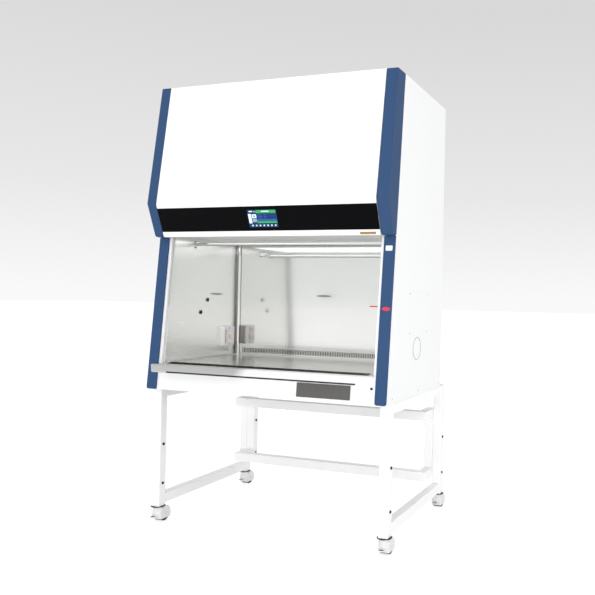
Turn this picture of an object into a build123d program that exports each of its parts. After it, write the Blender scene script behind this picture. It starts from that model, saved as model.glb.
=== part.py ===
from build123d import *
import os
from math import cos, hypot, pi, radians, sin, tan

# Class II biosafety cabinet on a wheeled floor stand. Millimetres, X to the right as seen
# from the front, Y to the back, Z up, origin on the floor under the middle of the object.

# ---- overall sizes ----
cabinet_width = 1340.0
cabinet_depth = 800.0
cabinet_height = 1575.0
stand_height = 708.0
front_slant = 5.7            # degrees that the front leans back
armrest_reach = 80.0         # armrest nose ahead of the cabinet's front bottom edge
skin = 2.0                   # painted steel sheet
liner_sheet = 1.5            # stainless sheet
gap = 0.3                    # assembly gap between neighbouring pieces

# ---- stand ----
tube = 50.0                  # square tube of the stand
tube_wall = 3.0
leg_setback = 46.0           # cabinet front bottom edge to the front legs
leg_overhang = 40.0          # rear legs stand this far behind the cabinet
beam_inset = 129.0           # cross beam face to rear leg face
upper_beam_top = 570.0
lower_beam_top = 232.0
side_rail_top = 146.0
bolt_heights = (410.0, 205.0)
bolt_head_radius = 7.0
bolt_head_height = 4.0
caster_height = 86.0         # floor to the end of a leg

# ---- casters ----
wheel_radius = 37.5
wheel_width = 46.0
axle_radius = 5.0
swivel_trail = 27.0
hood_wall = 3.0
hood_clearance = 2.5
hood_skirt = 15.0            # height of the hood's lower edge above the floor
neck_radius = 24.0
stem_cap_height = 7.0
stem_engagement = 8.0        # length of stem inside the swivelling cover
stem_radius = 5.0
pin_clearance = 0.05         # radial, shaft in hole
pedal_width = 22.0
pedal_length = 26.0
pedal_thickness = 5.0
pedal_barrel_radius = 4.0
pedal_pin_radius = 2.0
pedal_lug = 4.0

# ---- shell ----
flange = 34.0                # folded edge of a side panel
port_y = 396.0
port_z = 240.0
port_radius = 55.0
port_pipe = 90.0
access_y = 416.0
access_z = 420.0
access_width = 288.0
access_height = 225.0
inlet_inset = 190.0
inlet_drop = 155.0           # power inlet below the cabinet top
inlet_width = 50.0
inlet_height = 30.0
inlet_flange = 3.0
exhaust_back = 300.0
vent_length = 160.0
vent_width = 9.0
vent_pitch = 20.0
drain_inset = 150.0          # valve from the cabinet side
drain_back = 122.0           # valve from the cabinet back, ahead of the rear beam
drain_radius = 10.0
valve_drop = 34.0
valve_radius = 15.0
valve_stem = 4.0
barb_radius = 8.0
collar_radius = 12.0
collar_height = 3.0
barb_length = 26.0
lever_length = 70.0
lever_thickness = 4.0

# ---- front trims and hood ----
plate_inset = 326.0          # cabinet side to the middle of the front plate
plate_z = 48.0
plate_width = 282.0
plate_height = 68.0
plate_thickness = 5.0
trim_wall = 3.0
weight_setback = 12.0        # weights hang behind their cable line, clear of the rails
trim_width = 58.0
trim_thickness = 9.0
trim_radius = 12.0
crease_radius = 6.0
hood_top_y = 59.0            # hood outline, measured from the cabinet's front bottom edge
hood_knee_y = -36.0
hood_knee_z = 948.0
hood_foot_y = 28.0
hood_foot_z = 789.0
hood_lip = 34.0              # depth of the hood's bottom return
hood_roof = 41.0             # depth of the hood's top return
hood_side_gap = 1.5
knee_radius = 16.0
hinge_radius = 5.0
hinge_length = 90.0
hinge_inset = 230.0          # outer hinges from the cabinet sides
hinge_pin_radius = 2.0
hinge_lobe = 22.0            # length of each lobe on the hood
fascia_drop = 20.0           # knee to the top of the black fascia, along the lower hood face
fascia_height = 125.0
fascia_thickness = 4.0
screen_width = 166.0
screen_height = 92.0
screen_thickness = 3.0

# ---- sash ----
sash_setback = 12.0          # front line to the glass, square to the glass
sash_thickness = 6.0
sash_height = 690.0
sash_opening = 442.0         # cabinet bottom to the glass edge at the working height
sash_slot_clearance = 0.5
rail_inset = 73.0            # cabinet side to the inner edge of a sash rail
rail_width = 25.0
rail_depth = 26.0
rail_start = 92.0
rail_end = 1450.0
rail_grip = 9.0              # how far the glass reaches into its rail
grip_span = 305.0
grip_width = 86.0
grip_rise = 58.0
grip_depth = 9.0
grip_height = 12.0
cable_radius = 1.5
sheave_radius = 21.0
sheave_flange = 3.0          # height of the cheeks above the groove
sheave_cheek = 1.5           # thickness of one cheek
sheave_width = 10.0
sheave_height = 1480.0       # sheave centre above the cabinet bottom
sheave_pin_radius = 4.0
weight_width = 36.0
weight_depth = 52.0
weight_height = 430.0
weight_top = 872.0           # top of the counterweights above the cabinet bottom

# ---- work chamber, heights above the cabinet bottom ----
wall_inset = 58.0            # cabinet side to the chamber wall
tray_z = 132.0
tray_rim = 6.0
tray_skirt = 22.0            # height of the tray's folded edge below its floor
tray_ledge = 14.0
grille_z = 140.0
grille_y = 10.0              # front grille strip, from the cabinet's front bottom edge
grille_depth = 58.0
ceiling_z = 802.0
rear_duct = 110.0            # air path between the chamber and the back panel
corner_radius = 32.0
slot_pitch = 11.0
slot_width = 5.0
front_slot_length = 44.0
rear_slot_height = 30.0
rear_slot_z = 160.0
armrest_z = 133.0
armrest_nose_z = 94.0
armrest_shoulder = 38.0      # width tapers from here to the nose
armrest_taper = 66.0
front_panel_height = 86.0
panel_return = 8.0           # depth of the lower front panel's folded edges
base_rise = 30.0             # depth of the bottom pan
top_cap = 36.0               # height of the roof's side flanges
plug_points = ((405.0, 463.0), (344.0, 393.0))
plug_radius = 11.0
outlet_back = 108.0          # middle of the outlet box ahead of the rear wall
outlet_z = 249.0
outlet_width = 100.0
outlet_height = 114.0
outlet_depth = 28.0
front_plug_inset = 79.0
plugs_z = 74.0
front_plug_radius = 6.5
socket_pitch = 52.0
bar_y = 300.0
bar_z = 770.0
bar_radius = 8.5
bar_foot_radius = 20.0
bar_foot = 9.0
uv_x = 50.0
uv_length = 895.0
uv_radius = 13.0
uv_z = 737.0
uv_gap = 34.0                # UV tube ahead of the back wall
uv_holder = 60.0
lamp_inset = 110.0
lamp_y = 78.0
lamp_z = 824.0
grille_rise = 8.0            # the front grille climbs towards the tray
armrest_wing = 14.0          # the nose is full width only ahead of the trims
nose_height = 7.0
slope_back = -15.0

# ---- inside the upper housing ----
motor_radius = 52.0
motor_start = 12.0
filter_height = 69.0
filter_front = 190.0
filter_back = 130.0          # filter from the cabinet back
filter_inset = 80.0
filter_frame = 18.0
exhaust_half = 285.0
exhaust_depth = 400.0
blower_radius = 140.0
blower_width = 250.0
blower_x = 0.0
blower_z = 1180.0
blower_back = 360.0
blower_blades = 24
blade_thickness = 2.0
blade_depth = 26.0
blower_shaft_radius = 10.0
scroll_growth = 44.0
scroll_wall = 3.0
tongue_y = 20.0              # cut-off of the volute, behind the wheel axis

# ---- derived places ----
slant = radians(front_slant)
lean = tan(slant)
half_width = cabinet_width / 2
hood_reach = wheel_radius + hood_clearance + hood_wall
leg_pitch = cabinet_depth - leg_setback + leg_overhang
beam_pitch = leg_pitch - beam_inset
rear_reach = leg_setback + leg_pitch + tube / 2 + swivel_trail + hood_reach
front_y = armrest_reach - (armrest_reach + rear_reach) / 2
bottom_z = stand_height
top_z = stand_height + cabinet_height
back_y = front_y + cabinet_depth
trim_inner = half_width - trim_width
rail_inner = half_width - rail_inset
chamber_half = half_width - wall_inset
back_wall_y = cabinet_depth - rear_duct
filter_half = half_width - filter_inset
filter_depth = cabinet_depth - filter_back - filter_front
blower_y = cabinet_depth - blower_back
exhaust_y = cabinet_depth - exhaust_back
drain_x = drain_inset - half_width
drain_y = cabinet_depth - drain_back
outlet_y = back_wall_y - outlet_back
inlet_x = half_width - inlet_inset
inlet_z = cabinet_height - inlet_drop
front_plane = Plane(
    origin=(0, front_y, bottom_z), x_dir=(1, 0, 0), z_dir=(0, -cos(slant), sin(slant))
)


def front_line(height):
    """Y of the sloping front line at a height above the cabinet bottom."""
    return front_y + height * lean


def along(height):
    """Distance up the sloping front for a height above the cabinet bottom."""
    return height / cos(slant)


def side_view(x, y, z):
    """Plane seen from the right: sketch x runs back, sketch y runs up."""
    return Plane(origin=(x, y, z), x_dir=(0, 1, 0), z_dir=(1, 0, 0))


def front_view(y, x=0.0, z=0.0):
    """Plane seen from the front: sketch x runs right, sketch y runs up, extrusion runs forward."""
    return Plane(origin=(x, y, z), x_dir=(1, 0, 0), z_dir=(0, -1, 0))


def save(part, name):
    part.label = name
    export_step(part, f"parts/{name}.step")


os.makedirs("parts", exist_ok=True)

# =============================== stand ===============================
leg_x = half_width - tube / 2
leg_front = front_y + leg_setback + tube / 2
leg_rear = leg_front + leg_pitch
leg_points = [(x, y) for y in (leg_front, leg_rear) for x in (-leg_x, leg_x)]

with BuildPart() as stand_legs:
    with BuildSketch(Plane.XY.offset(caster_height)):
        with Locations(*leg_points):
            RectangleRounded(tube, tube, 4)
    extrude(amount=stand_height - caster_height - gap)
    with BuildSketch(Plane.XY.offset(caster_height)):
        with Locations(*leg_points):
            Circle(stem_radius + pin_clearance)
    extrude(amount=2 * tube, mode=Mode.SUBTRACT)
    # solid foot for the caster stem, hollow tube above it
    with BuildSketch(Plane.XY.offset(caster_height + 2 * tube)):
        with Locations(*leg_points):
            Rectangle(tube - 2 * tube_wall, tube - 2 * tube_wall)
    extrude(amount=stand_height - caster_height, mode=Mode.SUBTRACT)
save(stand_legs.part, "stand_legs")

rail_length = leg_pitch - tube - 2 * gap
rail_y = (leg_front + leg_rear) / 2
with BuildPart() as side_rails:
    for rail_top in (side_rail_top, stand_height - gap):
        with BuildSketch(front_view(rail_y)):
            with Locations((-leg_x, rail_top - tube / 2), (leg_x, rail_top - tube / 2)):
                RectangleRounded(tube - 2, tube, 4)
                RectangleRounded(tube - 2 - 2 * tube_wall, tube - 2 * tube_wall, 2, mode=Mode.SUBTRACT)
        extrude(amount=rail_length / 2, both=True)
save(side_rails.part, "side_rails")

# rear frame: two posts bolted inside the rear legs, with beams carried forward of them
post_x = leg_x - tube - gap
beam_y = leg_front - tube / 2 + beam_pitch + tube / 2
beam_half = post_x + tube / 2
beam_height = tube
with BuildPart() as rear_frame:
    with BuildSketch(Plane.XY.offset(lower_beam_top - beam_height)):
        with Locations((-post_x, leg_rear), (post_x, leg_rear)):
            RectangleRounded(tube, tube, 4)
    extrude(amount=upper_beam_top - lower_beam_top + beam_height)
    for beam_top in (lower_beam_top, upper_beam_top):
        with BuildSketch(Plane.XY.offset(beam_top - beam_height)):
            with Locations((0, beam_y)):
                Rectangle(2 * beam_half, tube)
            with Locations((-post_x, (beam_y + leg_rear) / 2), (post_x, (beam_y + leg_rear) / 2)):
                Rectangle(tube, leg_rear - beam_y)
        extrude(amount=beam_height)
    bore = tube - 2 * tube_wall
    with BuildSketch(Plane.XY.offset(lower_beam_top - beam_height + tube_wall)):
        with Locations((-post_x, leg_rear), (post_x, leg_rear)):
            Rectangle(bore, bore)
    extrude(amount=upper_beam_top - lower_beam_top + bore, mode=Mode.SUBTRACT)
    for beam_top in (lower_beam_top, upper_beam_top):
        with BuildSketch(Plane.XY.offset(beam_top - tube_wall)):
            with Locations((0, beam_y)):
                Rectangle(2 * (beam_half - tube_wall), bore)
        extrude(amount=-bore, mode=Mode.SUBTRACT)
save(rear_frame.part, "rear_frame")

outer_face = half_width
inner_face = half_width - tube
with BuildPart() as stand_bolts:
    for height in bolt_heights:
        for x, y in leg_points:
            side = 1 if x > 0 else -1
            rear = y > leg_front
            inner = inner_face - tube - gap if rear else inner_face
            for face_x, direction in ((outer_face, side), (inner, -side)):
                with BuildSketch(Plane(origin=(side * face_x, y, height), z_dir=(direction, 0, 0))):
                    Circle(bolt_head_radius)
                extrude(amount=bolt_head_height)
save(stand_bolts.part, "stand_bolts")

# =============================== casters ===============================
with BuildPart() as caster_stems:
    with BuildSketch(Plane.XY.offset(caster_height - stem_cap_height)):
        with Locations(*leg_points):
            Circle(neck_radius)
    extrude(amount=stem_cap_height - gap)
    with BuildSketch(Plane.XY.offset(caster_height - stem_cap_height - stem_engagement)):
        with Locations(*leg_points):
            Circle(stem_radius)
    extrude(amount=stem_engagement + stem_cap_height + tube)
save(caster_stems.part, "caster_stems")

hood_inner_radius = wheel_radius + hood_clearance
cover_half = wheel_width / 2 + hood_clearance + hood_wall
neck_top = caster_height - stem_cap_height - gap
pedal_y = swivel_trail - hood_reach - pedal_barrel_radius - 1
pedal_z = 34.0
caster_names = ("front_left", "front_right", "rear_left", "rear_right")
for (x, y), corner in zip(leg_points, caster_names):
    wheel_y = y + swivel_trail
    side_plane = side_view(x, wheel_y, wheel_radius)
    pedal_plane = side_view(x, y + pedal_y, pedal_z)
    with BuildPart() as hood:
        with BuildSketch(side_plane):
            Circle(hood_reach)
        extrude(amount=cover_half, both=True)
        chamfer(hood.edges().filter_by(GeomType.CIRCLE), 5)
        with BuildSketch(Plane.XY.offset(wheel_radius)):
            with Locations((x, y)):
                Circle(neck_radius)
        extrude(amount=neck_top - wheel_radius)
        with BuildSketch(side_plane):
            Circle(hood_inner_radius)
        extrude(amount=cover_half - hood_wall, both=True, mode=Mode.SUBTRACT)
        with BuildSketch(Plane.XY.offset(hood_skirt)):
            with Locations((x, wheel_y)):
                Rectangle(4 * cover_half, 4 * hood_reach)
        extrude(amount=-2 * hood_skirt, mode=Mode.SUBTRACT)
        with BuildSketch(Plane.XY.offset(neck_top)):
            with Locations((x, y)):
                Circle(neck_radius + 1)
        extrude(amount=stem_cap_height, mode=Mode.SUBTRACT)
        # lugs for the brake pedal and the bore for the swivel stem
        with BuildSketch(pedal_plane):
            Circle(pedal_barrel_radius)
            with Locations((pedal_barrel_radius + 2, 0)):
                Rectangle(2 * pedal_barrel_radius + 4, 2 * pedal_barrel_radius)
        extrude(amount=pedal_width / 2 + pedal_lug + gap, both=True)
        with BuildSketch(pedal_plane):
            Circle(pedal_barrel_radius + 1)
            with Locations((-pedal_length / 2, 0)):
                Rectangle(pedal_length, 2 * pedal_barrel_radius + 2)
        extrude(amount=pedal_width / 2 + gap, both=True, mode=Mode.SUBTRACT)
        with BuildSketch(pedal_plane):
            Circle(pedal_pin_radius + pin_clearance)
        extrude(amount=cover_half, both=True, mode=Mode.SUBTRACT)
        with BuildSketch(side_plane):
            Circle(hood_inner_radius)
        extrude(amount=cover_half - hood_wall, both=True, mode=Mode.SUBTRACT)
        with BuildSketch(Plane.XY.offset(wheel_radius)):
            with Locations((x, y)):
                Circle(stem_radius + pin_clearance)
        extrude(amount=neck_top - wheel_radius, mode=Mode.SUBTRACT)
        # axle across the hood
        with BuildSketch(side_plane):
            Circle(axle_radius)
        extrude(amount=cover_half - hood_wall / 2, both=True)
    save(hood.part, f"caster_hood_{corner}")

    with BuildPart() as wheel:
        with BuildSketch(side_plane):
            Circle(wheel_radius)
            Circle(axle_radius + pin_clearance, mode=Mode.SUBTRACT)
        extrude(amount=wheel_width / 2, both=True)
        with BuildSketch(side_plane):
            Circle(wheel_radius + 1)
            Circle(wheel_radius - 12, mode=Mode.SUBTRACT)
        extrude(amount=2, both=True, mode=Mode.SUBTRACT)
        chamfer(wheel.edges().filter_by(GeomType.CIRCLE).group_by(SortBy.RADIUS)[-1], 1.5)
    save(wheel.part, f"caster_wheel_{corner}")

    with BuildPart() as pedal:
        with BuildSketch(pedal_plane):
            Circle(pedal_barrel_radius - gap)
            with Locations((-pedal_length / 2, -pedal_barrel_radius + pedal_thickness / 2 + gap)):
                Rectangle(pedal_length, pedal_thickness)
        extrude(amount=pedal_width / 2 - gap, both=True)
        with BuildSketch(pedal_plane):
            Circle(pedal_pin_radius)
        extrude(amount=pedal_width / 2 + pedal_lug, both=True)
    save(pedal.part, f"caster_brake_{corner}")

# =============================== cabinet shell ===============================
shell_top = cabinet_height - top_cap - gap


def side_outline(inset, low, high):
    """Corners of the cabinet's side between two heights, drawn in from its front and back."""
    return [
        (inset + low * lean, low), (cabinet_depth - inset, low),
        (cabinet_depth - inset, high), (inset + high * lean, high),
    ]


for side, name in ((-1, "side_panel_left"), (1, "side_panel_right")):
    with BuildPart() as side_panel:
        with BuildSketch(side_view(side * half_width, front_y, bottom_z)):
            Polygon(*side_outline(0, 0, shell_top), align=None)
        extrude(amount=-side * flange)
        with BuildSketch(side_view(side * (half_width - skin), front_y, bottom_z)):
            Polygon(*side_outline(skin, -skin, shell_top + skin), align=None)
        extrude(amount=-side * flange, mode=Mode.SUBTRACT)
        if side > 0:
            with BuildSketch(side_view(half_width, front_y, bottom_z)):
                with Locations((port_y, port_z)):
                    Circle(port_radius + gap)
                with Locations((access_y, access_z)):
                    RectangleRounded(access_width + 2 * gap, access_height + 2 * gap, 6)
            extrude(amount=-skin, mode=Mode.SUBTRACT)
    save(side_panel.part, name)

with BuildPart() as access_panel:
    with BuildSketch(side_view(half_width - skin, front_y, bottom_z)):
        with Locations((access_y, access_z)):
            RectangleRounded(access_width, access_height, 6)
    extrude(amount=skin)
save(access_panel.part, "access_panel")

with BuildPart() as port_cover:
    with BuildSketch(side_view(half_width - 2 * skin, front_y, bottom_z)):
        with Locations((port_y, port_z)):
            Circle(port_radius)
    extrude(amount=2 * skin)
    chamfer(port_cover.faces().sort_by(Axis.X)[-1].edges(), 1)
    with BuildSketch(side_view(half_width - 2 * skin, front_y, bottom_z)):
        with Locations((port_y, port_z)):
            Circle(port_pipe / 2)
            Circle(port_pipe / 2 - skin, mode=Mode.SUBTRACT)
    extrude(amount=-(half_width - 2 * skin - chamber_half - liner_sheet - gap))
save(port_cover.part, "port_cover")

panel_half = half_width - skin - gap
with BuildPart() as back_panel:
    with BuildSketch(front_view(back_y, 0, bottom_z)):
        with Locations((0, shell_top / 2)):
            Rectangle(2 * (half_width - flange - gap), shell_top)
    extrude(amount=skin)
    with BuildSketch(front_view(back_y, 0, bottom_z)):
        with Locations((inlet_x, inlet_z)):
            RectangleRounded(inlet_width + 2 * gap, inlet_height + 2 * gap, 4)
    extrude(amount=skin, mode=Mode.SUBTRACT)
save(back_panel.part, "back_panel")

with BuildPart() as power_inlet:
    with BuildSketch(front_view(back_y + inlet_flange, inlet_x, bottom_z + inlet_z)):
        RectangleRounded(inlet_width + 22, inlet_height + 10, 6)
    extrude(amount=inlet_flange - gap)
    with BuildSketch(front_view(back_y + inlet_flange, inlet_x, bottom_z + inlet_z)):
        RectangleRounded(inlet_width, inlet_height, 4)
    extrude(amount=34)
    with BuildSketch(front_view(back_y + inlet_flange, inlet_x, bottom_z + inlet_z)):
        RectangleRounded(inlet_width - 16, inlet_height - 8, 4)
    extrude(amount=22, mode=Mode.SUBTRACT)
    with BuildSketch(front_view(back_y + inlet_flange - 22, inlet_x, bottom_z + inlet_z)):
        with GridLocations(8, 4, 3, 1):
            Rectangle(2, 5)
    extrude(amount=-16)
save(power_inlet.part, "power_inlet")

hinge_places = (hinge_inset - half_width, 0, half_width - hinge_inset)
roof_front = hood_top_y + hood_roof + 2 * hinge_radius + 2 * gap
hinge_y = front_y + hood_top_y + hood_roof + gap + hinge_radius
hinge_z = top_z - hinge_radius - 1
with BuildPart() as top_panel:
    with BuildSketch(Plane.XY.offset(top_z - top_cap)):
        with Locations((0, front_y + (cabinet_height * lean + cabinet_depth) / 2 + gap / 2)):
            Rectangle(cabinet_width, cabinet_depth - cabinet_height * lean - gap)
    extrude(amount=top_cap)
    with BuildSketch(Plane.XY.offset(top_z - skin)):
        with Locations((0, front_y + (roof_front + cabinet_height * lean) / 2)):
            Rectangle(2 * trim_inner - 2 * gap, cabinet_height * lean - roof_front + 2 * gap)
    extrude(amount=skin)
    with BuildSketch(Plane.XY.offset(top_z - top_cap)):
        with Locations((0, front_y + cabinet_depth / 2 - skin)):
            Rectangle(cabinet_width - 2 * skin, cabinet_depth)
    extrude(amount=top_cap - skin, mode=Mode.SUBTRACT)
    with BuildSketch(Plane.XY.offset(top_z)):
        with Locations((0, front_y + exhaust_y)):
            with GridLocations(vent_length + 18, vent_pitch, 3, 17):
                Rectangle(vent_length, vent_width)
    extrude(amount=-skin, mode=Mode.SUBTRACT)
    # knuckles that carry the hood
    with BuildSketch(side_view(0, hinge_y, hinge_z)):
        Circle(hinge_radius)
        with Locations((hinge_radius / 2 + 2, hinge_radius - 1)):
            Rectangle(hinge_radius + 4, 2 * skin)
    knuckle = extrude(amount=hinge_length / 2, both=True, mode=Mode.PRIVATE)
    for x in hinge_places:
        add(knuckle.moved(Location((x, 0, 0))))
    with BuildSketch(side_view(0, hinge_y, hinge_z)):
        Circle(hinge_pin_radius + pin_clearance)
    extrude(amount=half_width, both=True, mode=Mode.SUBTRACT)
save(top_panel.part, "top_panel")

with BuildPart() as base_pan:
    with BuildSketch(Plane.XY.offset(bottom_z)):
        with Locations((0, front_y + cabinet_depth / 2)):
            Rectangle(2 * panel_half, cabinet_depth - 2 * skin - 2 * gap)
    extrude(amount=base_rise)
    with BuildSketch(Plane.XY.offset(bottom_z + skin)):
        with Locations((0, front_y + cabinet_depth / 2)):
            RectangleRounded(2 * (panel_half - skin), cabinet_depth - 4 * skin - 2 * gap, 20)
    extrude(amount=base_rise, mode=Mode.SUBTRACT)
    with BuildSketch(Plane.XY.offset(bottom_z)):
        with Locations((drain_x, front_y + drain_y)):
            Circle(drain_radius - 3)
    extrude(amount=skin, mode=Mode.SUBTRACT)
    # front edge stays behind the returns of the lower front panel
    with BuildSketch(front_plane.offset(-panel_return - gap)):
        Rectangle(2 * cabinet_width, 8 * base_rise)
    extrude(amount=2 * base_rise, mode=Mode.SUBTRACT)
save(base_pan.part, "base_pan")

# ball valve under the pan, its lever square to the pipe while closed
valve_z = bottom_z - valve_drop
lever_y = front_y + drain_y - valve_radius - lever_thickness
with BuildPart() as drain_valve:
    with BuildSketch(Plane.XY.offset(valve_z)):
        with Locations((drain_x, front_y + drain_y)):
            Circle(drain_radius)
    extrude(amount=valve_drop - gap)
    with BuildSketch(side_view(drain_x, front_y + drain_y, valve_z)):
        Circle(valve_radius)
    extrude(amount=valve_radius + 2, both=True)
    chamfer(drain_valve.edges().filter_by(GeomType.CIRCLE).group_by(SortBy.RADIUS)[-1], 4)
    with BuildSketch(Plane.XY.offset(valve_z)):
        with Locations((drain_x, front_y + drain_y)):
            Circle(collar_radius)
    extrude(amount=-(valve_radius + collar_height))
    with BuildSketch(Plane.XY.offset(valve_z - valve_radius - collar_height)):
        with Locations((drain_x, front_y + drain_y)):
            Circle(barb_radius)
    extrude(amount=-barb_length)
    with BuildSketch(front_view(front_y + drain_y, drain_x, valve_z)):
        Circle(valve_stem)
    extrude(amount=valve_radius + lever_thickness + 5)
    with BuildSketch(Plane.XY.offset(valve_z - valve_radius - collar_height - barb_length)):
        with Locations((drain_x, front_y + drain_y)):
            Circle(barb_radius - 3)
    extrude(amount=barb_length, mode=Mode.SUBTRACT)
save(drain_valve.part, "drain_valve")

with BuildPart() as drain_lever:
    with BuildSketch(front_view(lever_y + lever_thickness / 2, drain_x, valve_z)):
        Circle(9)
        with Locations((lever_length / 2, 0)):
            SlotOverall(lever_length, 12)
        Circle(valve_stem + pin_clearance, mode=Mode.SUBTRACT)
    extrude(amount=lever_thickness)
save(drain_lever.part, "drain_lever")

# =============================== front panels and trims ===============================
panel_length = along(front_panel_height)
with BuildPart() as lower_front_panel:
    with BuildSketch(front_plane):
        with Locations((0, panel_length / 2)):
            Rectangle(2 * (trim_inner - gap), panel_length)
    extrude(amount=-skin)
    with BuildSketch(front_plane):
        with Locations((0, panel_length - skin / 2), (0, skin / 2)):
            Rectangle(2 * (trim_inner - gap), skin)
    extrude(amount=-panel_return)
save(lower_front_panel.part, "lower_front_panel")

with BuildPart() as front_plate:
    with BuildSketch(front_plane.offset(gap)):
        with Locations((half_width - plate_inset, along(plate_z))):
            Rectangle(plate_width, plate_height)
    extrude(amount=plate_thickness)
    chamfer(front_plate.faces().sort_by(Axis.Y)[0].edges(), 1)
save(front_plate.part, "front_plate")



def hood_outline(inset, back_top, back_foot):
    """Hood and trim outline in side view, drawn in by one wall."""
    rise = inset * 1.05
    return [
        (back_top, cabinet_height - inset), (hood_top_y + rise, cabinet_height - inset),
        (hood_knee_y + rise, hood_knee_z), (hood_foot_y + rise, hood_foot_z + inset),
        (back_foot, hood_foot_z + inset),
    ]


with BuildPart() as upper_trims:
    with BuildSketch(side_view(half_width, front_y, bottom_z)) as outline:
        Polygon(*hood_outline(0, cabinet_height * lean - gap, hood_foot_z * lean - gap), align=None)
        fillet(outline.vertices().sort_by(Axis.Y)[0], knee_radius)
    extrude(amount=-trim_width)
    fillet(upper_trims.edges().filter_by(Axis.Y).sort_by(Axis.Z)[:2], trim_radius)
    fillet(upper_trims.faces().sort_by(Axis.X)[-1].edges().sort_by(Axis.Y)[:3], crease_radius)
    with BuildSketch(side_view(half_width - trim_wall, front_y, bottom_z)):
        Polygon(
            *hood_outline(
                crease_radius, cabinet_height * lean + crease_radius, hood_foot_z * lean + crease_radius
            ),
            align=None,
        )
    extrude(amount=-(trim_width - 2 * trim_wall), mode=Mode.SUBTRACT)
    mirror(about=Plane.YZ)
save(upper_trims.part, "upper_trims")

lower_length = along(hood_foot_z) - trim_thickness * tan(slant) - gap
with BuildPart() as lower_trims:
    with BuildSketch(front_plane) as face:
        with Locations((half_width - trim_width / 2, lower_length / 2)):
            Rectangle(trim_width, lower_length)
        fillet(face.vertices().sort_by(Axis.Y)[:2], trim_radius)
    extrude(amount=trim_thickness)
    fillet(lower_trims.faces().sort_by(Axis.Y)[0].edges(), 2)
    with BuildSketch(front_plane):
        with Locations((half_width - trim_width / 2, lower_length / 2)):
            Rectangle(trim_width - 2 * trim_wall, lower_length - 2 * trim_wall - trim_radius)
    extrude(amount=trim_thickness - trim_wall, mode=Mode.SUBTRACT)
    mirror(about=Plane.YZ)
save(lower_trims.part, "lower_trims")

# =============================== hinged hood ===============================
hood_half = trim_inner - hood_side_gap


def hood_section(inset):
    """Hood pan in side view: roof, upper face, knee, lower face and bottom lip."""
    with BuildSketch() as section:
        Polygon(
            *hood_outline(inset, hood_top_y + hood_roof + inset, hood_foot_y + hood_lip + inset), align=None
        )
        fillet(section.vertices().sort_by(Axis.X)[0], knee_radius - inset)
    return section.sketch


fall_y = hood_foot_y - hood_knee_y
fall_z = hood_knee_z - hood_foot_z
fall = hypot(fall_y, fall_z)
fascia_plane = Plane(
    origin=(0, front_y + hood_knee_y, bottom_z + hood_knee_z),
    x_dir=(1, 0, 0),
    z_dir=(0, -fall_z / fall, -fall_y / fall),
)
fascia_middle = -(fascia_drop + fascia_height / 2)
with BuildPart() as hood_panel:
    with BuildSketch(side_view(-hood_half, front_y, bottom_z)):
        add(hood_section(0))
    extrude(amount=2 * hood_half)
    with BuildSketch(side_view(-hood_half + skin, front_y, bottom_z)):
        add(hood_section(skin))
    extrude(amount=2 * (hood_half - skin), mode=Mode.SUBTRACT)
    with BuildSketch(fascia_plane.offset(1)):
        with Locations((0, fascia_middle)):
            Rectangle(2 * hood_half + 2, fascia_height)
    extrude(amount=-fascia_thickness - 1, mode=Mode.SUBTRACT)
    # shelf that the fascia is screwed to
    with BuildSketch(fascia_plane.offset(-fascia_thickness - gap)):
        with Locations((0, fascia_middle)):
            Rectangle(2 * hood_half - 2 * skin, fascia_height + 24)
            Rectangle(2 * hood_half - 60, fascia_height - 24, mode=Mode.SUBTRACT)
    extrude(amount=-skin)
    # hinge lobes either side of each roof knuckle, with the pin through
    for x in hinge_places:
        for side in (-1, 1):
            with BuildSketch(side_view(x + side * (hinge_length / 2 + gap), hinge_y, hinge_z)):
                Circle(hinge_radius)
                with Locations((-hinge_radius - 1, hinge_radius - skin)):
                    Rectangle(2 * hinge_radius + 2, skin)
            extrude(amount=side * hinge_lobe)
        with BuildSketch(side_view(x, hinge_y, hinge_z)):
            Circle(hinge_pin_radius)
        extrude(amount=hinge_length / 2 + hinge_lobe, both=True)
save(hood_panel.part, "hood_panel")

with BuildPart() as control_fascia:
    with BuildSketch(fascia_plane):
        with Locations((0, fascia_middle)):
            Rectangle(2 * hood_half, fascia_height - 2 * gap)
    extrude(amount=-fascia_thickness)
    with BuildSketch(fascia_plane):
        with Locations((0, fascia_middle)):
            RectangleRounded(screen_width + 2 * gap, screen_height + 2 * gap, 3)
    extrude(amount=-screen_thickness + 1, mode=Mode.SUBTRACT)
save(control_fascia.part, "control_fascia")

with BuildPart() as touchscreen:
    with BuildSketch(fascia_plane.offset(1)):
        with Locations((0, fascia_middle)):
            RectangleRounded(screen_width, screen_height, 3)
    extrude(amount=-screen_thickness + gap)
save(touchscreen.part, "touchscreen")

# =============================== sash and its hoist ===============================
sash_plane = front_plane.offset(-sash_setback)
sash_foot = along(sash_opening)
glass_half = rail_inner + rail_grip
with BuildPart() as sash_glass:
    with BuildSketch(sash_plane):
        with Locations((0, sash_foot + sash_height / 2)):
            Rectangle(2 * glass_half, sash_height)
    extrude(amount=-sash_thickness)
save(sash_glass.part, "sash_glass")

with BuildPart() as sash_grips:
    for x in (-grip_span, grip_span):
        with BuildSketch(sash_plane.offset(gap)):
            with BuildLine():
                left_tip = (x - grip_width / 2, sash_foot + grip_rise)
                right_tip = (x + grip_width / 2, sash_foot + grip_rise)
                ThreePointArc(left_tip, (x, sash_foot + grip_rise - grip_height / 2), right_tip)
                ThreePointArc(right_tip, (x, sash_foot + grip_rise + grip_height / 2), left_tip)
            make_face()
        extrude(amount=grip_depth, taper=12)
save(sash_grips.part, "sash_grips")

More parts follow.
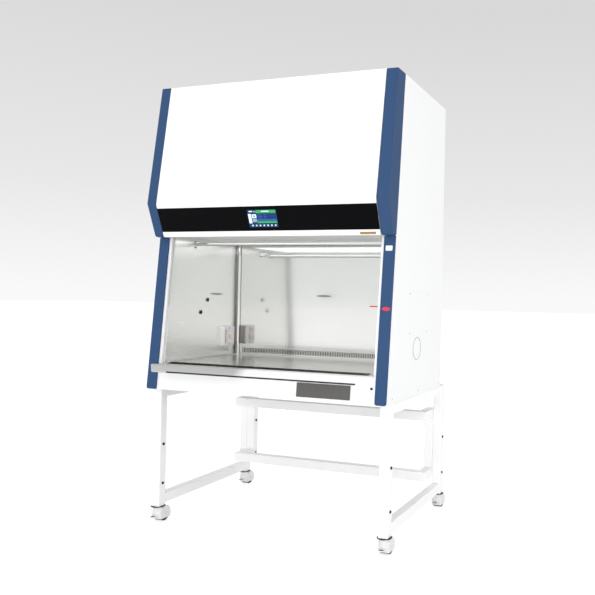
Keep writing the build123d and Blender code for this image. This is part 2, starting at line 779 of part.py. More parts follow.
rail_low = along(rail_start)
rail_length_up = along(rail_end) - rail_low
groove_front = sash_setback - sash_slot_clearance
groove_depth = sash_thickness + 2 * sash_slot_clearance
with BuildPart() as sash_rails:
    for side in (-1, 1):
        with BuildSketch(front_plane.offset(-gap)):
            with Locations((side * (rail_inner + rail_width / 2), rail_low + rail_length_up / 2)):
                Rectangle(rail_width, rail_length_up)
        extrude(amount=-rail_depth)
        with BuildSketch(front_plane.offset(-groove_front)):
            with Locations((side * (rail_inner + rail_grip / 2), rail_low + rail_length_up / 2)):
                Rectangle(rail_grip + 2 * sash_slot_clearance, rail_length_up)
        extrude(amount=-groove_depth, mode=Mode.SUBTRACT)
save(sash_rails.part, "sash_rails")

# each cable rises from a top corner of the glass, over a sheave and down to its weight
cable_reach = sheave_radius + cable_radius
cable_x = rail_inner + 1
sheave_x = cable_x + cable_reach
weight_x = sheave_x + cable_reach
glass_middle = sash_setback + sash_thickness / 2
hoist_plane = front_plane.offset(-glass_middle)
sheave_up = along(sheave_height)
sheave_point = hoist_plane.from_local_coords((0, sheave_up, 0))
for side, name in ((-1, "sheave_left"), (1, "sheave_right")):
    with BuildPart() as sheave:
        with BuildSketch(hoist_plane):
            with Locations((side * sheave_x, sheave_up)):
                Circle(sheave_radius + sheave_flange)
        extrude(amount=sheave_width / 2, both=True)
        with BuildSketch(hoist_plane):
            with Locations((side * sheave_x, sheave_up)):
                Circle(sheave_radius + 2 * sheave_flange)
                Circle(sheave_radius - gap, mode=Mode.SUBTRACT)
        extrude(amount=sheave_width / 2 - sheave_cheek, both=True, mode=Mode.SUBTRACT)
        with BuildSketch(hoist_plane):
            with Locations((side * sheave_x, sheave_up)):
                Circle(sheave_pin_radius + pin_clearance)
                with PolarLocations(sheave_radius * 0.6, 5):
                    Circle(3)
        extrude(amount=sheave_width, both=True, mode=Mode.SUBTRACT)
    save(sheave.part, name)

bracket_inner = sheave_x - sheave_radius
bracket_outer = half_width - skin - gap
bracket_width = bracket_outer - bracket_inner
with BuildPart() as sheave_brackets:
    for side in (-1, 1):
        with BuildSketch(hoist_plane.offset(-sheave_width / 2 - gap)):
            with Locations((side * (bracket_inner + bracket_width / 2), sheave_up)):
                Rectangle(bracket_width, 2 * sheave_radius)
        extrude(amount=-3)
        with BuildSketch(hoist_plane.offset(-sheave_width / 2 - gap)):
            with Locations((side * (bracket_outer - 1.5), sheave_up)):
                Rectangle(3, 2 * sheave_radius)
        extrude(amount=-24)
        with BuildSketch(hoist_plane.offset(-sheave_width / 2 - gap)):
            with Locations((side * sheave_x, sheave_up)):
                Circle(sheave_pin_radius)
        extrude(amount=sheave_width + 3)
save(sheave_brackets.part, "sheave_brackets")

with BuildPart() as counterweights:
    with BuildSketch(Plane.XY.offset(bottom_z + weight_top - weight_height)):
        with Locations(
            (-weight_x, sheave_point.Y + weight_setback), (weight_x, sheave_point.Y + weight_setback)
        ):
            RectangleRounded(weight_width, weight_depth, 3)
    extrude(amount=weight_height)
save(counterweights.part, "counterweights")

sash_head = sash_foot + sash_height
with BuildPart() as lift_cables:
    for side in (-1, 1):
        sash_run = Plane(
            origin=hoist_plane.from_local_coords((side * cable_x, sash_head + gap, 0)), z_dir=hoist_plane.y_dir
        )
        with BuildSketch(sash_run):
            Circle(cable_radius)
        extrude(amount=sheave_up - sash_head - gap)
        with BuildSketch(Plane(origin=hoist_plane.from_local_coords((side * cable_x, sheave_up, 0)),
                               z_dir=hoist_plane.y_dir)):
            Circle(cable_radius)
        revolve(
            axis=Axis(
                hoist_plane.from_local_coords((side * sheave_x, sheave_up, 0)), hoist_plane.z_dir * -side
            ),
            revolution_arc=180,
        )
        with BuildSketch(Plane.XY.offset(bottom_z + weight_top + gap)):
            with Locations((side * weight_x, sheave_point.Y)):
                Circle(cable_radius)
        extrude(amount=sheave_point.Z - bottom_z - weight_top - gap)
save(lift_cables.part, "lift_cables")

# =============================== work chamber ===============================
liner_setback = rail_depth + 2 * gap
wall_front = liner_setback / cos(slant)
ledge_z = tray_z - tray_skirt - gap


def wall_outline():
    """One side wall of the chamber, from the sash rail to the rounded rear corner."""
    return [
        (wall_front + tray_z * lean, ledge_z - liner_sheet), (back_wall_y - corner_radius, ledge_z - liner_sheet),
        (back_wall_y - corner_radius, ceiling_z), (wall_front + ceiling_z * lean, ceiling_z),
    ]


for side, name in ((-1, "liner_left"), (1, "liner_right")):
    with BuildPart() as liner:
        with BuildSketch(side_view(side * chamber_half, front_y, bottom_z)):
            Polygon(*wall_outline(), align=None)
            if side < 0:
                with Locations(*plug_points):
                    Circle(plug_radius - 3 + gap, mode=Mode.SUBTRACT)
        extrude(amount=side * liner_sheet)
        # ledge under the rim of the work tray
        with BuildSketch(side_view(side * (chamber_half + liner_sheet), front_y, bottom_z)):
            with Locations(((wall_front + back_wall_y - corner_radius) / 2 + 10, ledge_z - liner_sheet / 2)):
                Rectangle(back_wall_y - corner_radius - wall_front - 20, liner_sheet)
        extrude(amount=-side * (tray_ledge + liner_sheet))
    save(liner.part, name)

rear_low = tray_z - 30
with BuildPart() as rear_liner:
    with BuildSketch(Plane.XY.offset(bottom_z + rear_low)):
        with Locations((0, front_y + back_wall_y - corner_radius / 2 + liner_sheet / 2)):
            Rectangle(2 * (chamber_half + liner_sheet), corner_radius + liner_sheet - 2 * gap)
    extrude(amount=ceiling_z - rear_low)
    fillet(rear_liner.edges().filter_by(Axis.Z).sort_by(Axis.Y)[-2:], corner_radius + liner_sheet - 1)
    with BuildSketch(Plane.XY.offset(bottom_z + rear_low)) as hollow:
        with Locations((0, front_y + back_wall_y - corner_radius)):
            Rectangle(2 * chamber_half, 2 * corner_radius)
        fillet(hollow.vertices().sort_by(Axis.Y)[-2:], corner_radius - 1)
    extrude(amount=ceiling_z - rear_low, mode=Mode.SUBTRACT)
    rear_slots = int((2 * (chamber_half - corner_radius) - 2 * slot_pitch) / slot_pitch)
    with BuildSketch(front_view(front_y + back_wall_y - 1, 0, bottom_z + rear_slot_z)):
        with GridLocations(slot_pitch, 1, rear_slots, 1):
            Rectangle(slot_width, rear_slot_height)
    extrude(amount=-liner_sheet - 2, mode=Mode.SUBTRACT)
save(rear_liner.part, "rear_liner")

tray_front = grille_y + grille_depth + gap
tray_depth = back_wall_y - 2 - tray_front
tray_half = chamber_half - 2
with BuildPart() as work_tray:
    with BuildSketch(Plane.XY.offset(bottom_z + tray_z - tray_skirt)) as tray_plan:
        with Locations((0, front_y + tray_front + tray_depth / 2)):
            Rectangle(2 * tray_half, tray_depth)
        fillet(tray_plan.vertices().sort_by(Axis.Y)[:2], 4)
        fillet(tray_plan.vertices().sort_by(Axis.Y)[-2:], corner_radius - 3)
    extrude(amount=tray_skirt + tray_rim)
    with BuildSketch(Plane.XY.offset(bottom_z + tray_z)):
        with Locations((0, front_y + tray_front + tray_depth / 2)):
            RectangleRounded(2 * tray_half - 20, tray_depth - 20, 19)
    extrude(amount=tray_rim, mode=Mode.SUBTRACT)
    with BuildSketch(Plane.XY.offset(bottom_z + tray_z - tray_skirt)):
        with Locations((0, front_y + tray_front + tray_depth / 2)):
            RectangleRounded(2 * (tray_half - 9), tray_depth - 18, 19)
    extrude(amount=tray_skirt - liner_sheet, mode=Mode.SUBTRACT)
save(work_tray.part, "work_tray")

grille_slope = Plane(
    origin=(0, front_y + grille_y, bottom_z + grille_z - grille_rise),
    x_dir=(1, 0, 0),
    z_dir=(0, -grille_rise, grille_depth),
)
grille_run = hypot(grille_depth, grille_rise) - 4
front_slots = int((2 * chamber_half - 6 * slot_pitch) / slot_pitch)
with BuildPart() as front_grille:
    with BuildSketch(grille_slope):
        with Locations((0, grille_run / 2)):
            Rectangle(2 * (rail_inner - gap), grille_run)
    extrude(amount=-liner_sheet)
    with BuildSketch(grille_slope):
        with Locations((0, grille_run / 2)):
            with GridLocations(slot_pitch, 1, front_slots - 2, 1):
                Rectangle(slot_width, front_slot_length)
    extrude(amount=-liner_sheet, mode=Mode.SUBTRACT)
    with BuildSketch(grille_slope):
        with Locations((0, liner_sheet / 2), (0, grille_run - liner_sheet / 2)):
            Rectangle(2 * (rail_inner - gap), liner_sheet)
    extrude(amount=-14)
save(front_grille.part, "front_grille")

armrest_wide = trim_inner + 6


def armrest_side(inset):
    """Side view of the armrest: nose, slope and flat back."""
    return [
        (-armrest_reach + inset, armrest_nose_z - inset), (-armrest_reach + inset, armrest_nose_z + nose_height - inset / 2),
        (slope_back + inset / 2, armrest_z - inset), (grille_y - gap - inset, armrest_z - inset),
        (grille_y - gap - inset, armrest_nose_z - inset),
    ]


def armrest_plan(inset):
    """Plan of the armrest: tapered nose, shoulders ahead of the trims, narrow back between them."""
    nose = armrest_wide - armrest_taper - inset
    half = [
        (nose, -armrest_reach - 1), (armrest_wide - inset, -armrest_shoulder),
        (armrest_wide - inset, -armrest_wing - inset),
        (rail_inner - gap - inset, -armrest_wing - inset), (rail_inner - gap - inset, grille_y),
    ]
    return half + [(-x, y) for x, y in reversed(half)]


with BuildPart() as armrest:
    for inset, mode in ((0, Mode.ADD), (liner_sheet, Mode.SUBTRACT)):
        with BuildPart(mode=Mode.PRIVATE) as form:
            with BuildSketch(side_view(0, front_y, bottom_z)):
                Polygon(*armrest_side(inset), align=None)
            extrude(amount=half_width, both=True)
            with BuildSketch(Plane.XY.offset(bottom_z)):
                with Locations((0, front_y)):
                    Polygon(*armrest_plan(inset), align=None)
            extrude(amount=armrest_z + 10, mode=Mode.INTERSECT)
        add(form.part, mode=mode)
save(armrest.part, "armrest")

with BuildPart() as plugs:
    with BuildSketch(front_plane.offset(gap)):
        with Locations((half_width - front_plug_inset, along(plugs_z))):
            Circle(front_plug_radius)
    extrude(amount=3)
    for y, z in plug_points:
        with BuildSketch(side_view(-chamber_half + gap, front_y + y, bottom_z + z)):
            Circle(plug_radius)
        extrude(amount=4)
        with BuildSketch(side_view(-chamber_half + gap, front_y + y, bottom_z + z)):
            Circle(plug_radius - 3)
        extrude(amount=-12)
save(plugs.part, "plugs")

with BuildPart() as outlet_box:
    with BuildSketch(side_view(-chamber_half + gap, front_y + outlet_y, bottom_z + outlet_z)):
        RectangleRounded(outlet_width, outlet_height, 8)
    extrude(amount=outlet_depth)
    fillet(outlet_box.faces().sort_by(Axis.X)[-1].edges(), 3)
    with BuildSketch(side_view(-chamber_half + gap + outlet_depth, front_y + outlet_y, bottom_z + outlet_z)):
        with GridLocations(1, socket_pitch, 1, 2):
            Circle(17)
    extrude(amount=-8, mode=Mode.SUBTRACT)
save(outlet_box.part, "outlet_box")

with BuildPart() as iv_bar:
    with BuildSketch(side_view(0, front_y + bar_y, bottom_z + bar_z)):
        Circle(bar_radius)
    extrude(amount=chamber_half - gap, both=True)
    for side in (-1, 1):
        with BuildSketch(side_view(side * (chamber_half - gap), front_y + bar_y, bottom_z + bar_z)):
            Circle(bar_foot_radius)
        extrude(amount=-side * bar_foot)
save(iv_bar.part, "iv_bar")

uv_y = back_wall_y - uv_gap
with BuildPart() as uv_lamp:
    with BuildSketch(side_view(uv_x, front_y + uv_y, bottom_z + uv_z)):
        Circle(uv_radius)
    extrude(amount=uv_length / 2, both=True)
    for side in (-1, 1):
        with BuildSketch(side_view(uv_x + side * uv_length / 2, front_y + uv_y, bottom_z + uv_z)):
            Circle(uv_radius + 3)
            with Locations(((back_wall_y - gap - uv_y) / 2, 0)):
                Rectangle(back_wall_y - gap - uv_y, 2 * uv_radius + 4)
        extrude(amount=side * uv_holder / 2, both=False)
save(uv_lamp.part, "uv_lamp")

ceiling_front = wall_front + ceiling_z * lean + 10
ceiling_depth = back_wall_y - ceiling_front
with BuildPart() as ceiling_diffuser:
    with BuildSketch(Plane.XY.offset(bottom_z + ceiling_z + gap)):
        with Locations((0, front_y + ceiling_front + ceiling_depth / 2)):
            Rectangle(2 * (chamber_half + liner_sheet), ceiling_depth)
            with GridLocations(110, 46, 10, 9):
                Rectangle(90, 12, mode=Mode.SUBTRACT)
    extrude(amount=liner_sheet)
save(ceiling_diffuser.part, "ceiling_diffuser")

with BuildPart() as work_lamp:
    with BuildSketch(side_view(0, front_y + lamp_y, bottom_z + lamp_z)):
        with Locations((-3, 14)):
            Rectangle(14, 18)
        Circle(6)
    extrude(amount=half_width - lamp_inset, both=True)
    with BuildSketch(side_view(0, front_y + lamp_y, bottom_z + lamp_z)):
        with Locations((-3, 24)):
            Rectangle(14, 3)
    extrude(amount=trim_inner - gap, both=True)
save(work_lamp.part, "work_lamp")

# =============================== filters and blower ===============================
filter_z = ceiling_z + liner_sheet + 3 * gap
exhaust_filter_z = cabinet_height - skin - filter_height - 2 * gap


def filter_block(x_half, depth, middle_y, foot_z):
    """Pleated filter: a frame with the media set in from both faces."""
    with BuildPart() as block:
        with BuildSketch(Plane.XY.offset(bottom_z + foot_z)):
            with Locations((0, front_y + middle_y)):
                Rectangle(2 * x_half, depth)
        extrude(amount=filter_height)
        for face_z, direction in ((foot_z, 1), (foot_z + filter_height, -1)):
            with BuildSketch(Plane.XY.offset(bottom_z + face_z)):
                with Locations((0, front_y + middle_y)):
                    Rectangle(2 * (x_half - filter_frame), depth - 2 * filter_frame)
            extrude(amount=direction * 8, mode=Mode.SUBTRACT)
    return block.part


save(filter_block(filter_half, filter_depth, filter_front + filter_depth / 2, filter_z), "supply_filter")
save(filter_block(exhaust_half, exhaust_depth, exhaust_y, exhaust_filter_z), "exhaust_filter")

scroll_half = blower_width / 2 + 6
scroll_drop = blower_radius + 70
plenum_foot = filter_z + filter_height + gap
plenum_head = exhaust_filter_z - gap
plenum_height = plenum_head - plenum_foot
with BuildPart() as blower_plenum:
    with BuildSketch(Plane.XY.offset(bottom_z + plenum_foot)):
        with Locations((0, front_y + filter_front + filter_depth / 2)):
            Rectangle(2 * filter_half, filter_depth)
            Rectangle(2 * (filter_half - skin), filter_depth - 2 * skin, mode=Mode.SUBTRACT)
    extrude(amount=plenum_height)
    with BuildSketch(Plane.XY.offset(bottom_z + plenum_head - skin)):
        with Locations((0, front_y + filter_front + filter_depth / 2)):
            Rectangle(2 * filter_half, filter_depth)
        with Locations((0, front_y + exhaust_y)):
            Rectangle(2 * (exhaust_half - filter_frame), filter_depth - 160, mode=Mode.SUBTRACT)
    extrude(amount=skin)
    # deck that the blower stands on and blows through
    with BuildSketch(Plane.XY.offset(bottom_z + blower_z - scroll_drop - scroll_wall - gap)):
        with Locations((0, front_y + filter_front + filter_depth / 2)):
            Rectangle(2 * filter_half, filter_depth)
        with Locations((blower_x, front_y + blower_y + (tongue_y + blower_radius + scroll_growth) / 2)):
            Rectangle(2 * scroll_half, blower_radius + scroll_growth - tongue_y, mode=Mode.SUBTRACT)
    extrude(amount=-skin)
save(blower_plenum.part, "blower_plenum")

blower_axis = side_view(blower_x, front_y + blower_y, bottom_z + blower_z)


def scroll_outline():
    """Volute that widens round the wheel and blows down."""
    start = (-(blower_radius + 12), 0)
    crown = (0, blower_radius + scroll_growth / 2)
    front = (blower_radius + scroll_growth, 0)
    heel = (-(blower_radius + 9) * cos(pi / 4), -(blower_radius + 9) * sin(pi / 4))
    with BuildSketch() as outline:
        with BuildLine():
            ThreePointArc(start, crown, front)
            Polyline(front, (front[0], -scroll_drop), (tongue_y, -scroll_drop), (tongue_y, -(blower_radius + 8)))
            ThreePointArc((tongue_y, -(blower_radius + 8)), heel, start)
        make_face()
    return outline.sketch


with BuildPart() as blower_scroll:
    with BuildSketch(blower_axis.offset(-scroll_half - scroll_wall)):
        add(scroll_outline())
        offset(amount=scroll_wall, kind=Kind.INTERSECTION)
    extrude(amount=2 * (scroll_half + scroll_wall))
    with BuildSketch(blower_axis.offset(-scroll_half)):
        add(scroll_outline())
    extrude(amount=2 * scroll_half, mode=Mode.SUBTRACT)
    with BuildSketch(blower_axis.offset(-scroll_half)):
        with Locations(((tongue_y + blower_radius + scroll_growth) / 2, -scroll_drop)):
            Rectangle(blower_radius + scroll_growth - tongue_y, 4 * scroll_wall)
    extrude(amount=2 * scroll_half, mode=Mode.SUBTRACT)
    with BuildSketch(blower_axis):
        Circle(blower_radius - 12)
    extrude(amount=scroll_half + 2 * scroll_wall, both=True, mode=Mode.SUBTRACT)
save(blower_scroll.part, "blower_scroll")

blade_circle = blower_radius - blade_depth / 2
with BuildPart() as blower_wheel:
    with BuildSketch(blower_axis):
        Circle(blower_radius - blade_depth / 4)
    extrude(amount=1.5, both=True)
    with BuildSketch(blower_axis):
        with PolarLocations(blade_circle, blower_blades):
            with Locations(Location((0, 0), 40)):
                Rectangle(blade_depth, blade_thickness)
    extrude(amount=blower_width / 2, both=True)
    for side in (-1, 1):
        with BuildSketch(blower_axis.offset(side * blower_width / 2)):
            Circle(blower_radius)
            Circle(blower_radius - blade_depth, mode=Mode.SUBTRACT)
        extrude(amount=-side * 4)
    with BuildSketch(blower_axis.offset(-22)):
        Circle(2.4 * blower_shaft_radius)
    extrude(amount=26)
    with BuildSketch(blower_axis):
        Circle(blower_shaft_radius + pin_clearance)
    extrude(amount=blower_width, both=True, mode=Mode.SUBTRACT)
save(blower_wheel.part, "blower_wheel")

arm_face = scroll_half + scroll_wall + gap
with BuildPart() as blower_motor:
    with BuildSketch(blower_axis.offset(motor_start)):
        Circle(motor_radius)
    extrude(amount=arm_face - motor_start)
    chamfer(blower_motor.edges().filter_by(GeomType.CIRCLE), 4)
    with BuildSketch(blower_axis.offset(-26)):
        Circle(blower_shaft_radius)
    extrude(amount=motor_start + 26 + 4)
    with BuildSketch(blower_axis.offset(arm_face)):
        with PolarLocations((motor_radius - 20 + blower_radius) / 2, 3):
            Rectangle(blower_radius - motor_radius + 20, 22)
    extrude(amount=4)
save(blower_motor.part, "blower_motor")
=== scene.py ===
import math

import bmesh
import bpy
from mathutils import Matrix, Vector
from mathutils.bvhtree import BVHTree


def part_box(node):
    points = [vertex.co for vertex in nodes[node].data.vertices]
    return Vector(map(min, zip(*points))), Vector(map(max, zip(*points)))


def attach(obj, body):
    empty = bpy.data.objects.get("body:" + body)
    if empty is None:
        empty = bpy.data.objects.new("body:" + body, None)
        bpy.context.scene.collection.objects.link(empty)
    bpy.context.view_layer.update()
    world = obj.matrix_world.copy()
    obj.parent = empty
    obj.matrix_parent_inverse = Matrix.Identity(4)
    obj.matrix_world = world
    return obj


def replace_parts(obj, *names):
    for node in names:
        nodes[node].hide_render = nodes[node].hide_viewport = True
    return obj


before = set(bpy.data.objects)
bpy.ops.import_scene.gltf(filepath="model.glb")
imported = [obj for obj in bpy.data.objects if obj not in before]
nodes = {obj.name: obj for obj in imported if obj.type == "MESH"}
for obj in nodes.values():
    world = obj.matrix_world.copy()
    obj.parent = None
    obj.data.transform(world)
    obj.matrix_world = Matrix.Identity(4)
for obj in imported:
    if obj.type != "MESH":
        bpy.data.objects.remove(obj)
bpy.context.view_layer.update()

corners = ("front_left", "front_right", "rear_left", "rear_right")
print("frame loaded:", len(nodes), "nodes")

# camera: metres, degrees, and millimetres for the lens
camera = {"place": (1.8547, -3.3485, 1.2112), "azimuth": 18.5, "elevation": 0.3, "roll": 1.2,
          "lens": 41.55, "shiftX": -0.2257, "shiftY": -0.0062}


def makeCamera():
    azimuth, elevation, roll = (math.radians(camera[k]) for k in ("azimuth", "elevation", "roll"))
    forward = Vector((-math.sin(azimuth) * math.cos(elevation), math.cos(azimuth) * math.cos(elevation),
                      math.sin(elevation)))
    level = Vector((math.cos(azimuth), math.sin(azimuth), 0))
    upright = level.cross(forward)
    right = level * math.cos(roll) + upright * math.sin(roll)
    up = upright * math.cos(roll) - level * math.sin(roll)
    data = bpy.data.cameras.new("viewCamera")
    data.lens, data.sensor_width = camera["lens"], 36
    data.shift_x, data.shift_y = camera["shiftX"], camera["shiftY"]
    data.clip_end = 200
    view = bpy.data.objects.new("viewCamera", data)
    turn = Matrix((right, up, -forward)).transposed().to_4x4()
    view.matrix_world = Matrix.Translation(camera["place"]) @ turn
    bpy.context.scene.collection.objects.link(view)
    bpy.context.scene.camera = view


makeCamera()
print("camera set")


# node helpers for the finishes
def startGroup(name, inputs, outputs):
    group = bpy.data.node_groups.new(name, "ShaderNodeTree")
    for label, kind, value in inputs:
        socket = group.interface.new_socket(name=label, in_out="INPUT", socket_type=kind)
        socket.default_value = value
    for label, kind in outputs:
        group.interface.new_socket(name=label, in_out="OUTPUT", socket_type=kind)
    return group, group.nodes.new("NodeGroupInput").outputs, group.nodes.new("NodeGroupOutput").inputs


def addNode(tree, kind, links=(), **values):
    node = tree.nodes.new(kind)
    for key, value in values.items():
        setattr(node, key, value)
    for target, source in links:
        if hasattr(source, "node"):
            tree.links.new(source, node.inputs[target])
        else:
            node.inputs[target].default_value = source
    return node


def noise(tree, place, scale, detail=3, roughness=0.5):
    return addNode(tree, "ShaderNodeTexNoise", [("Vector", place), ("Scale", scale), ("Detail", detail),
                   ("Roughness", roughness)]).outputs["Fac"]


def maths(tree, operation, *values):
    return addNode(tree, "ShaderNodeMath", list(enumerate(values)), operation=operation).outputs[0]


def blendColour(tree, amount, first, second):
    return addNode(tree, "ShaderNodeMix", [(0, amount), (6, first), (7, second)], data_type="RGBA").outputs[2]


def darker(tree, colour, value):
    return addNode(tree, "ShaderNodeHueSaturation", [("Color", colour), ("Value", value)]).outputs[0]


groupOutputs = [("Color", "NodeSocketColor"), ("Roughness", "NodeSocketFloat"),
                ("Normal", "NodeSocketVector")]


# fine orange peel, a slow drift of shade and a patchy gloss; scales per metre, reaches in metres
coat = {"peelDetail": 2, "bumpReach": 0.0004, "driftScale": 2.5, "driftDetail": 5, "driftRoughness": 0.6,
        "shade": 0.9, "glossSpread": 0.16}


def buildPowderCoat():
    group, given, result = startGroup("powderCoat", [
        ("Base", "NodeSocketColor", (1, 1, 1, 1)), ("Grain", "NodeSocketFloat", 900),
        ("Depth", "NodeSocketFloat", 0.05), ("Drift", "NodeSocketFloat", 0.03),
        ("Gloss", "NodeSocketFloat", 0.35)], groupOutputs)
    place = addNode(group, "ShaderNodeTexCoord").outputs["Object"]
    peel = noise(group, place, given["Grain"], coat["peelDetail"])
    bump = addNode(group, "ShaderNodeBump", [("Strength", given["Depth"]), ("Height", peel),
                   ("Distance", coat["bumpReach"])])
    broad = noise(group, place, coat["driftScale"], coat["driftDetail"], coat["driftRoughness"])
    amount = maths(group, "MULTIPLY", broad, given["Drift"])
    colour = blendColour(group, amount, given["Base"], darker(group, given["Base"], coat["shade"]))
    rough = maths(group, "MULTIPLY_ADD", broad, coat["glossSpread"], given["Gloss"])
    group.links.new(colour, result["Color"])
    group.links.new(rough, result["Roughness"])
    group.links.new(bump.outputs["Normal"], result["Normal"])
    return group


# brushed grain: noise stretched along the brushing, over slow patches of gloss
brush = {"fineDetail": 3, "fineRoughness": 0.65, "broadScale": 3.0, "bumpReach": 0.0004, "shade": 0.7,
         "fineGloss": 0.14, "broadGloss": 0.1}


def buildBrushing():
    group, given, result = startGroup("brushing", [
        ("Base", "NodeSocketColor", (0.6, 0.6, 0.58, 1)), ("Stretch", "NodeSocketVector", (4, 400, 400)),
        ("Depth", "NodeSocketFloat", 0.08), ("Streaks", "NodeSocketFloat", 0.25),
        ("Gloss", "NodeSocketFloat", 0.22)], groupOutputs)
    place = addNode(group, "ShaderNodeTexCoord").outputs["Object"]
    stretched = addNode(group, "ShaderNodeVectorMath", [(0, place), (1, given["Stretch"])],
                        operation="MULTIPLY").outputs[0]
    fine = noise(group, stretched, 1.0, brush["fineDetail"], brush["fineRoughness"])
    broad = noise(group, place, brush["broadScale"])
    bump = addNode(group, "ShaderNodeBump", [("Strength", given["Depth"]), ("Height", fine),
                   ("Distance", brush["bumpReach"])])
    amount = maths(group, "MULTIPLY", fine, given["Streaks"])
    colour = blendColour(group, amount, given["Base"], darker(group, given["Base"], brush["shade"]))
    rough = maths(group, "MULTIPLY_ADD", fine, brush["fineGloss"], given["Gloss"])
    group.links.new(colour, result["Color"])
    group.links.new(maths(group, "MULTIPLY_ADD", broad, brush["broadGloss"], rough), result["Roughness"])
    group.links.new(bump.outputs["Normal"], result["Normal"])
    return group


# pale dust on what faces up, broken by noise
dustPatches = {"scale": 14, "detail": 6, "roughness": 0.7}


def buildSettledDust():
    group, given, result = startGroup("settledDust", [
        ("Color", "NodeSocketColor", (1, 1, 1, 1)), ("Dust", "NodeSocketColor", (0.62, 0.6, 0.57, 1)),
        ("Amount", "NodeSocketFloat", 0.1)], groupOutputs[:1])
    normal = addNode(group, "ShaderNodeNewGeometry").outputs["Normal"]
    facing = addNode(group, "ShaderNodeSeparateXYZ", [(0, normal)])
    place = addNode(group, "ShaderNodeTexCoord").outputs["Object"]
    spread = noise(group, place, dustPatches["scale"], dustPatches["detail"], dustPatches["roughness"])
    patches = maths(group, "MULTIPLY", spread, given["Amount"])
    upward = maths(group, "MAXIMUM", facing.outputs["Z"], 0.0)
    amount = maths(group, "MULTIPLY", upward, patches)
    group.links.new(blendColour(group, amount, given["Color"], given["Dust"]), result["Color"])
    return group


# painted reflection: a polished curve's mirrored surroundings are painted into its colour as bands: how far
# it has turned, and the painted shade there
reflectionBandShades = ((0.05, 0.35), (0.17, 0.35), (0.21, 1.0), (0.55, 1.0), (0.62, 0.3), (0.98, 0.36))
lastBand = 0.998


def buildPaintedReflectionBands():
    group, given, result = startGroup("paintedReflectionBands", [
        ("Color", "NodeSocketColor", (1, 1, 1, 1)), ("Turn", "NodeSocketFloat", 0.0)], groupOutputs[:1])
    ramp = addNode(group, "ShaderNodeValToRGB", [(0, maths(group, "ABSOLUTE", given["Turn"]))])
    stops = ramp.color_ramp.elements
    stops[1].position = lastBand
    for turned, shade in reflectionBandShades:
        stops.new(turned).color = (shade, shade, shade, 1)
    for stop in (stops[0], stops[-1]):
        stop.color = (1, 1, 1, 1)
    shaded = addNode(group, "ShaderNodeMix", [(0, 1.0), (6, given["Color"]), (7, ramp.outputs[0])],
                     data_type="RGBA", blend_type="MULTIPLY")
    group.links.new(shaded.outputs[2], result["Color"])
    return group


powderCoat = buildPowderCoat()
paintedReflectionBands = buildPaintedReflectionBands()
brushing = buildBrushing()
settledDust = buildSettledDust()


def startMaterial(name):
    material = bpy.data.materials.new(name)
    material.use_nodes = True
    return material, material.node_tree, material.node_tree.nodes["Principled BSDF"]


def placeGroup(tree, group, values):
    effect = tree.nodes.new("ShaderNodeGroup")
    effect.node_tree = group
    for label, value in values.items():
        effect.inputs[label].default_value = value
    return effect


def withGroup(name, group, values, shader, dust=0.0):
    material, tree, surface = startMaterial(name)
    effect = placeGroup(tree, group, values)
    colour = effect.outputs["Color"]
    if dust:
        layer = placeGroup(tree, settledDust, {"Amount": dust})
        tree.links.new(colour, layer.inputs["Color"])
        colour = layer.outputs["Color"]
    tree.links.new(colour, surface.inputs["Base Color"])
    tree.links.new(effect.outputs["Roughness"], surface.inputs["Roughness"])
    tree.links.new(effect.outputs["Normal"], surface.inputs["Normal"])
    for label, value in shader.items():
        surface.inputs[label].default_value = value
    return material


def coated(name, colour, grain=900, depth=0.05, drift=0.3, gloss=0.3, dust=0.0, specular=0.5):
    return withGroup(name, powderCoat, {"Base": (*colour, 1), "Grain": grain, "Depth": depth, "Drift": drift,
                     "Gloss": gloss}, {"Specular IOR Level": specular}, dust)


def brushed(name, colour, stretch, depth=0.08, streaks=0.3, gloss=0.2, dust=0.0, metallic=1.0):
    return withGroup(name, brushing, {"Base": (*colour, 1), "Stretch": stretch, "Depth": depth,
                     "Streaks": streaks, "Gloss": gloss}, {"Metallic": metallic}, dust)


def withPaintedReflectionBands(material, axis):
    # painted reflection bands across the turn towards one world axis
    tree = material.node_tree
    surface = tree.nodes["Principled BSDF"]
    normal = addNode(tree, "ShaderNodeNewGeometry").outputs["Normal"]
    bands = placeGroup(tree, paintedReflectionBands, {})
    tree.links.new(surface.inputs["Base Color"].links[0].from_socket, bands.inputs["Color"])
    tree.links.new(addNode(tree, "ShaderNodeSeparateXYZ", [(0, normal)]).outputs[axis], bands.inputs["Turn"])
    tree.links.new(bands.outputs["Color"], surface.inputs["Base Color"])
    return material


def paintedReflectionEnd(material, start, end, level):
    # painted reflection: one end of a polished sheet is painted darker, for a darker side of the room
    # mirrored in it: darker below start on X, plain above end
    tree = material.node_tree
    surface = tree.nodes["Principled BSDF"]
    place = addNode(tree, "ShaderNodeTexCoord").outputs["Object"]
    share = addNode(tree, "ShaderNodeMapRange", [
        ("Value", addNode(tree, "ShaderNodeSeparateXYZ", [(0, place)]).outputs["X"]), ("From Min", start),
        ("From Max", end)]).outputs[0]
    plain = surface.inputs["Base Color"].links[0].from_socket
    tree.links.new(blendColour(tree, share, darker(tree, plain, level), plain), surface.inputs["Base Color"])
    return material


# fine ridges across one axis: strands, pleats, treads
ridge = {"grain": 600, "depth": 0.1, "drift": 0.3, "distortion": 0.4, "reachShare": 1 / 3}


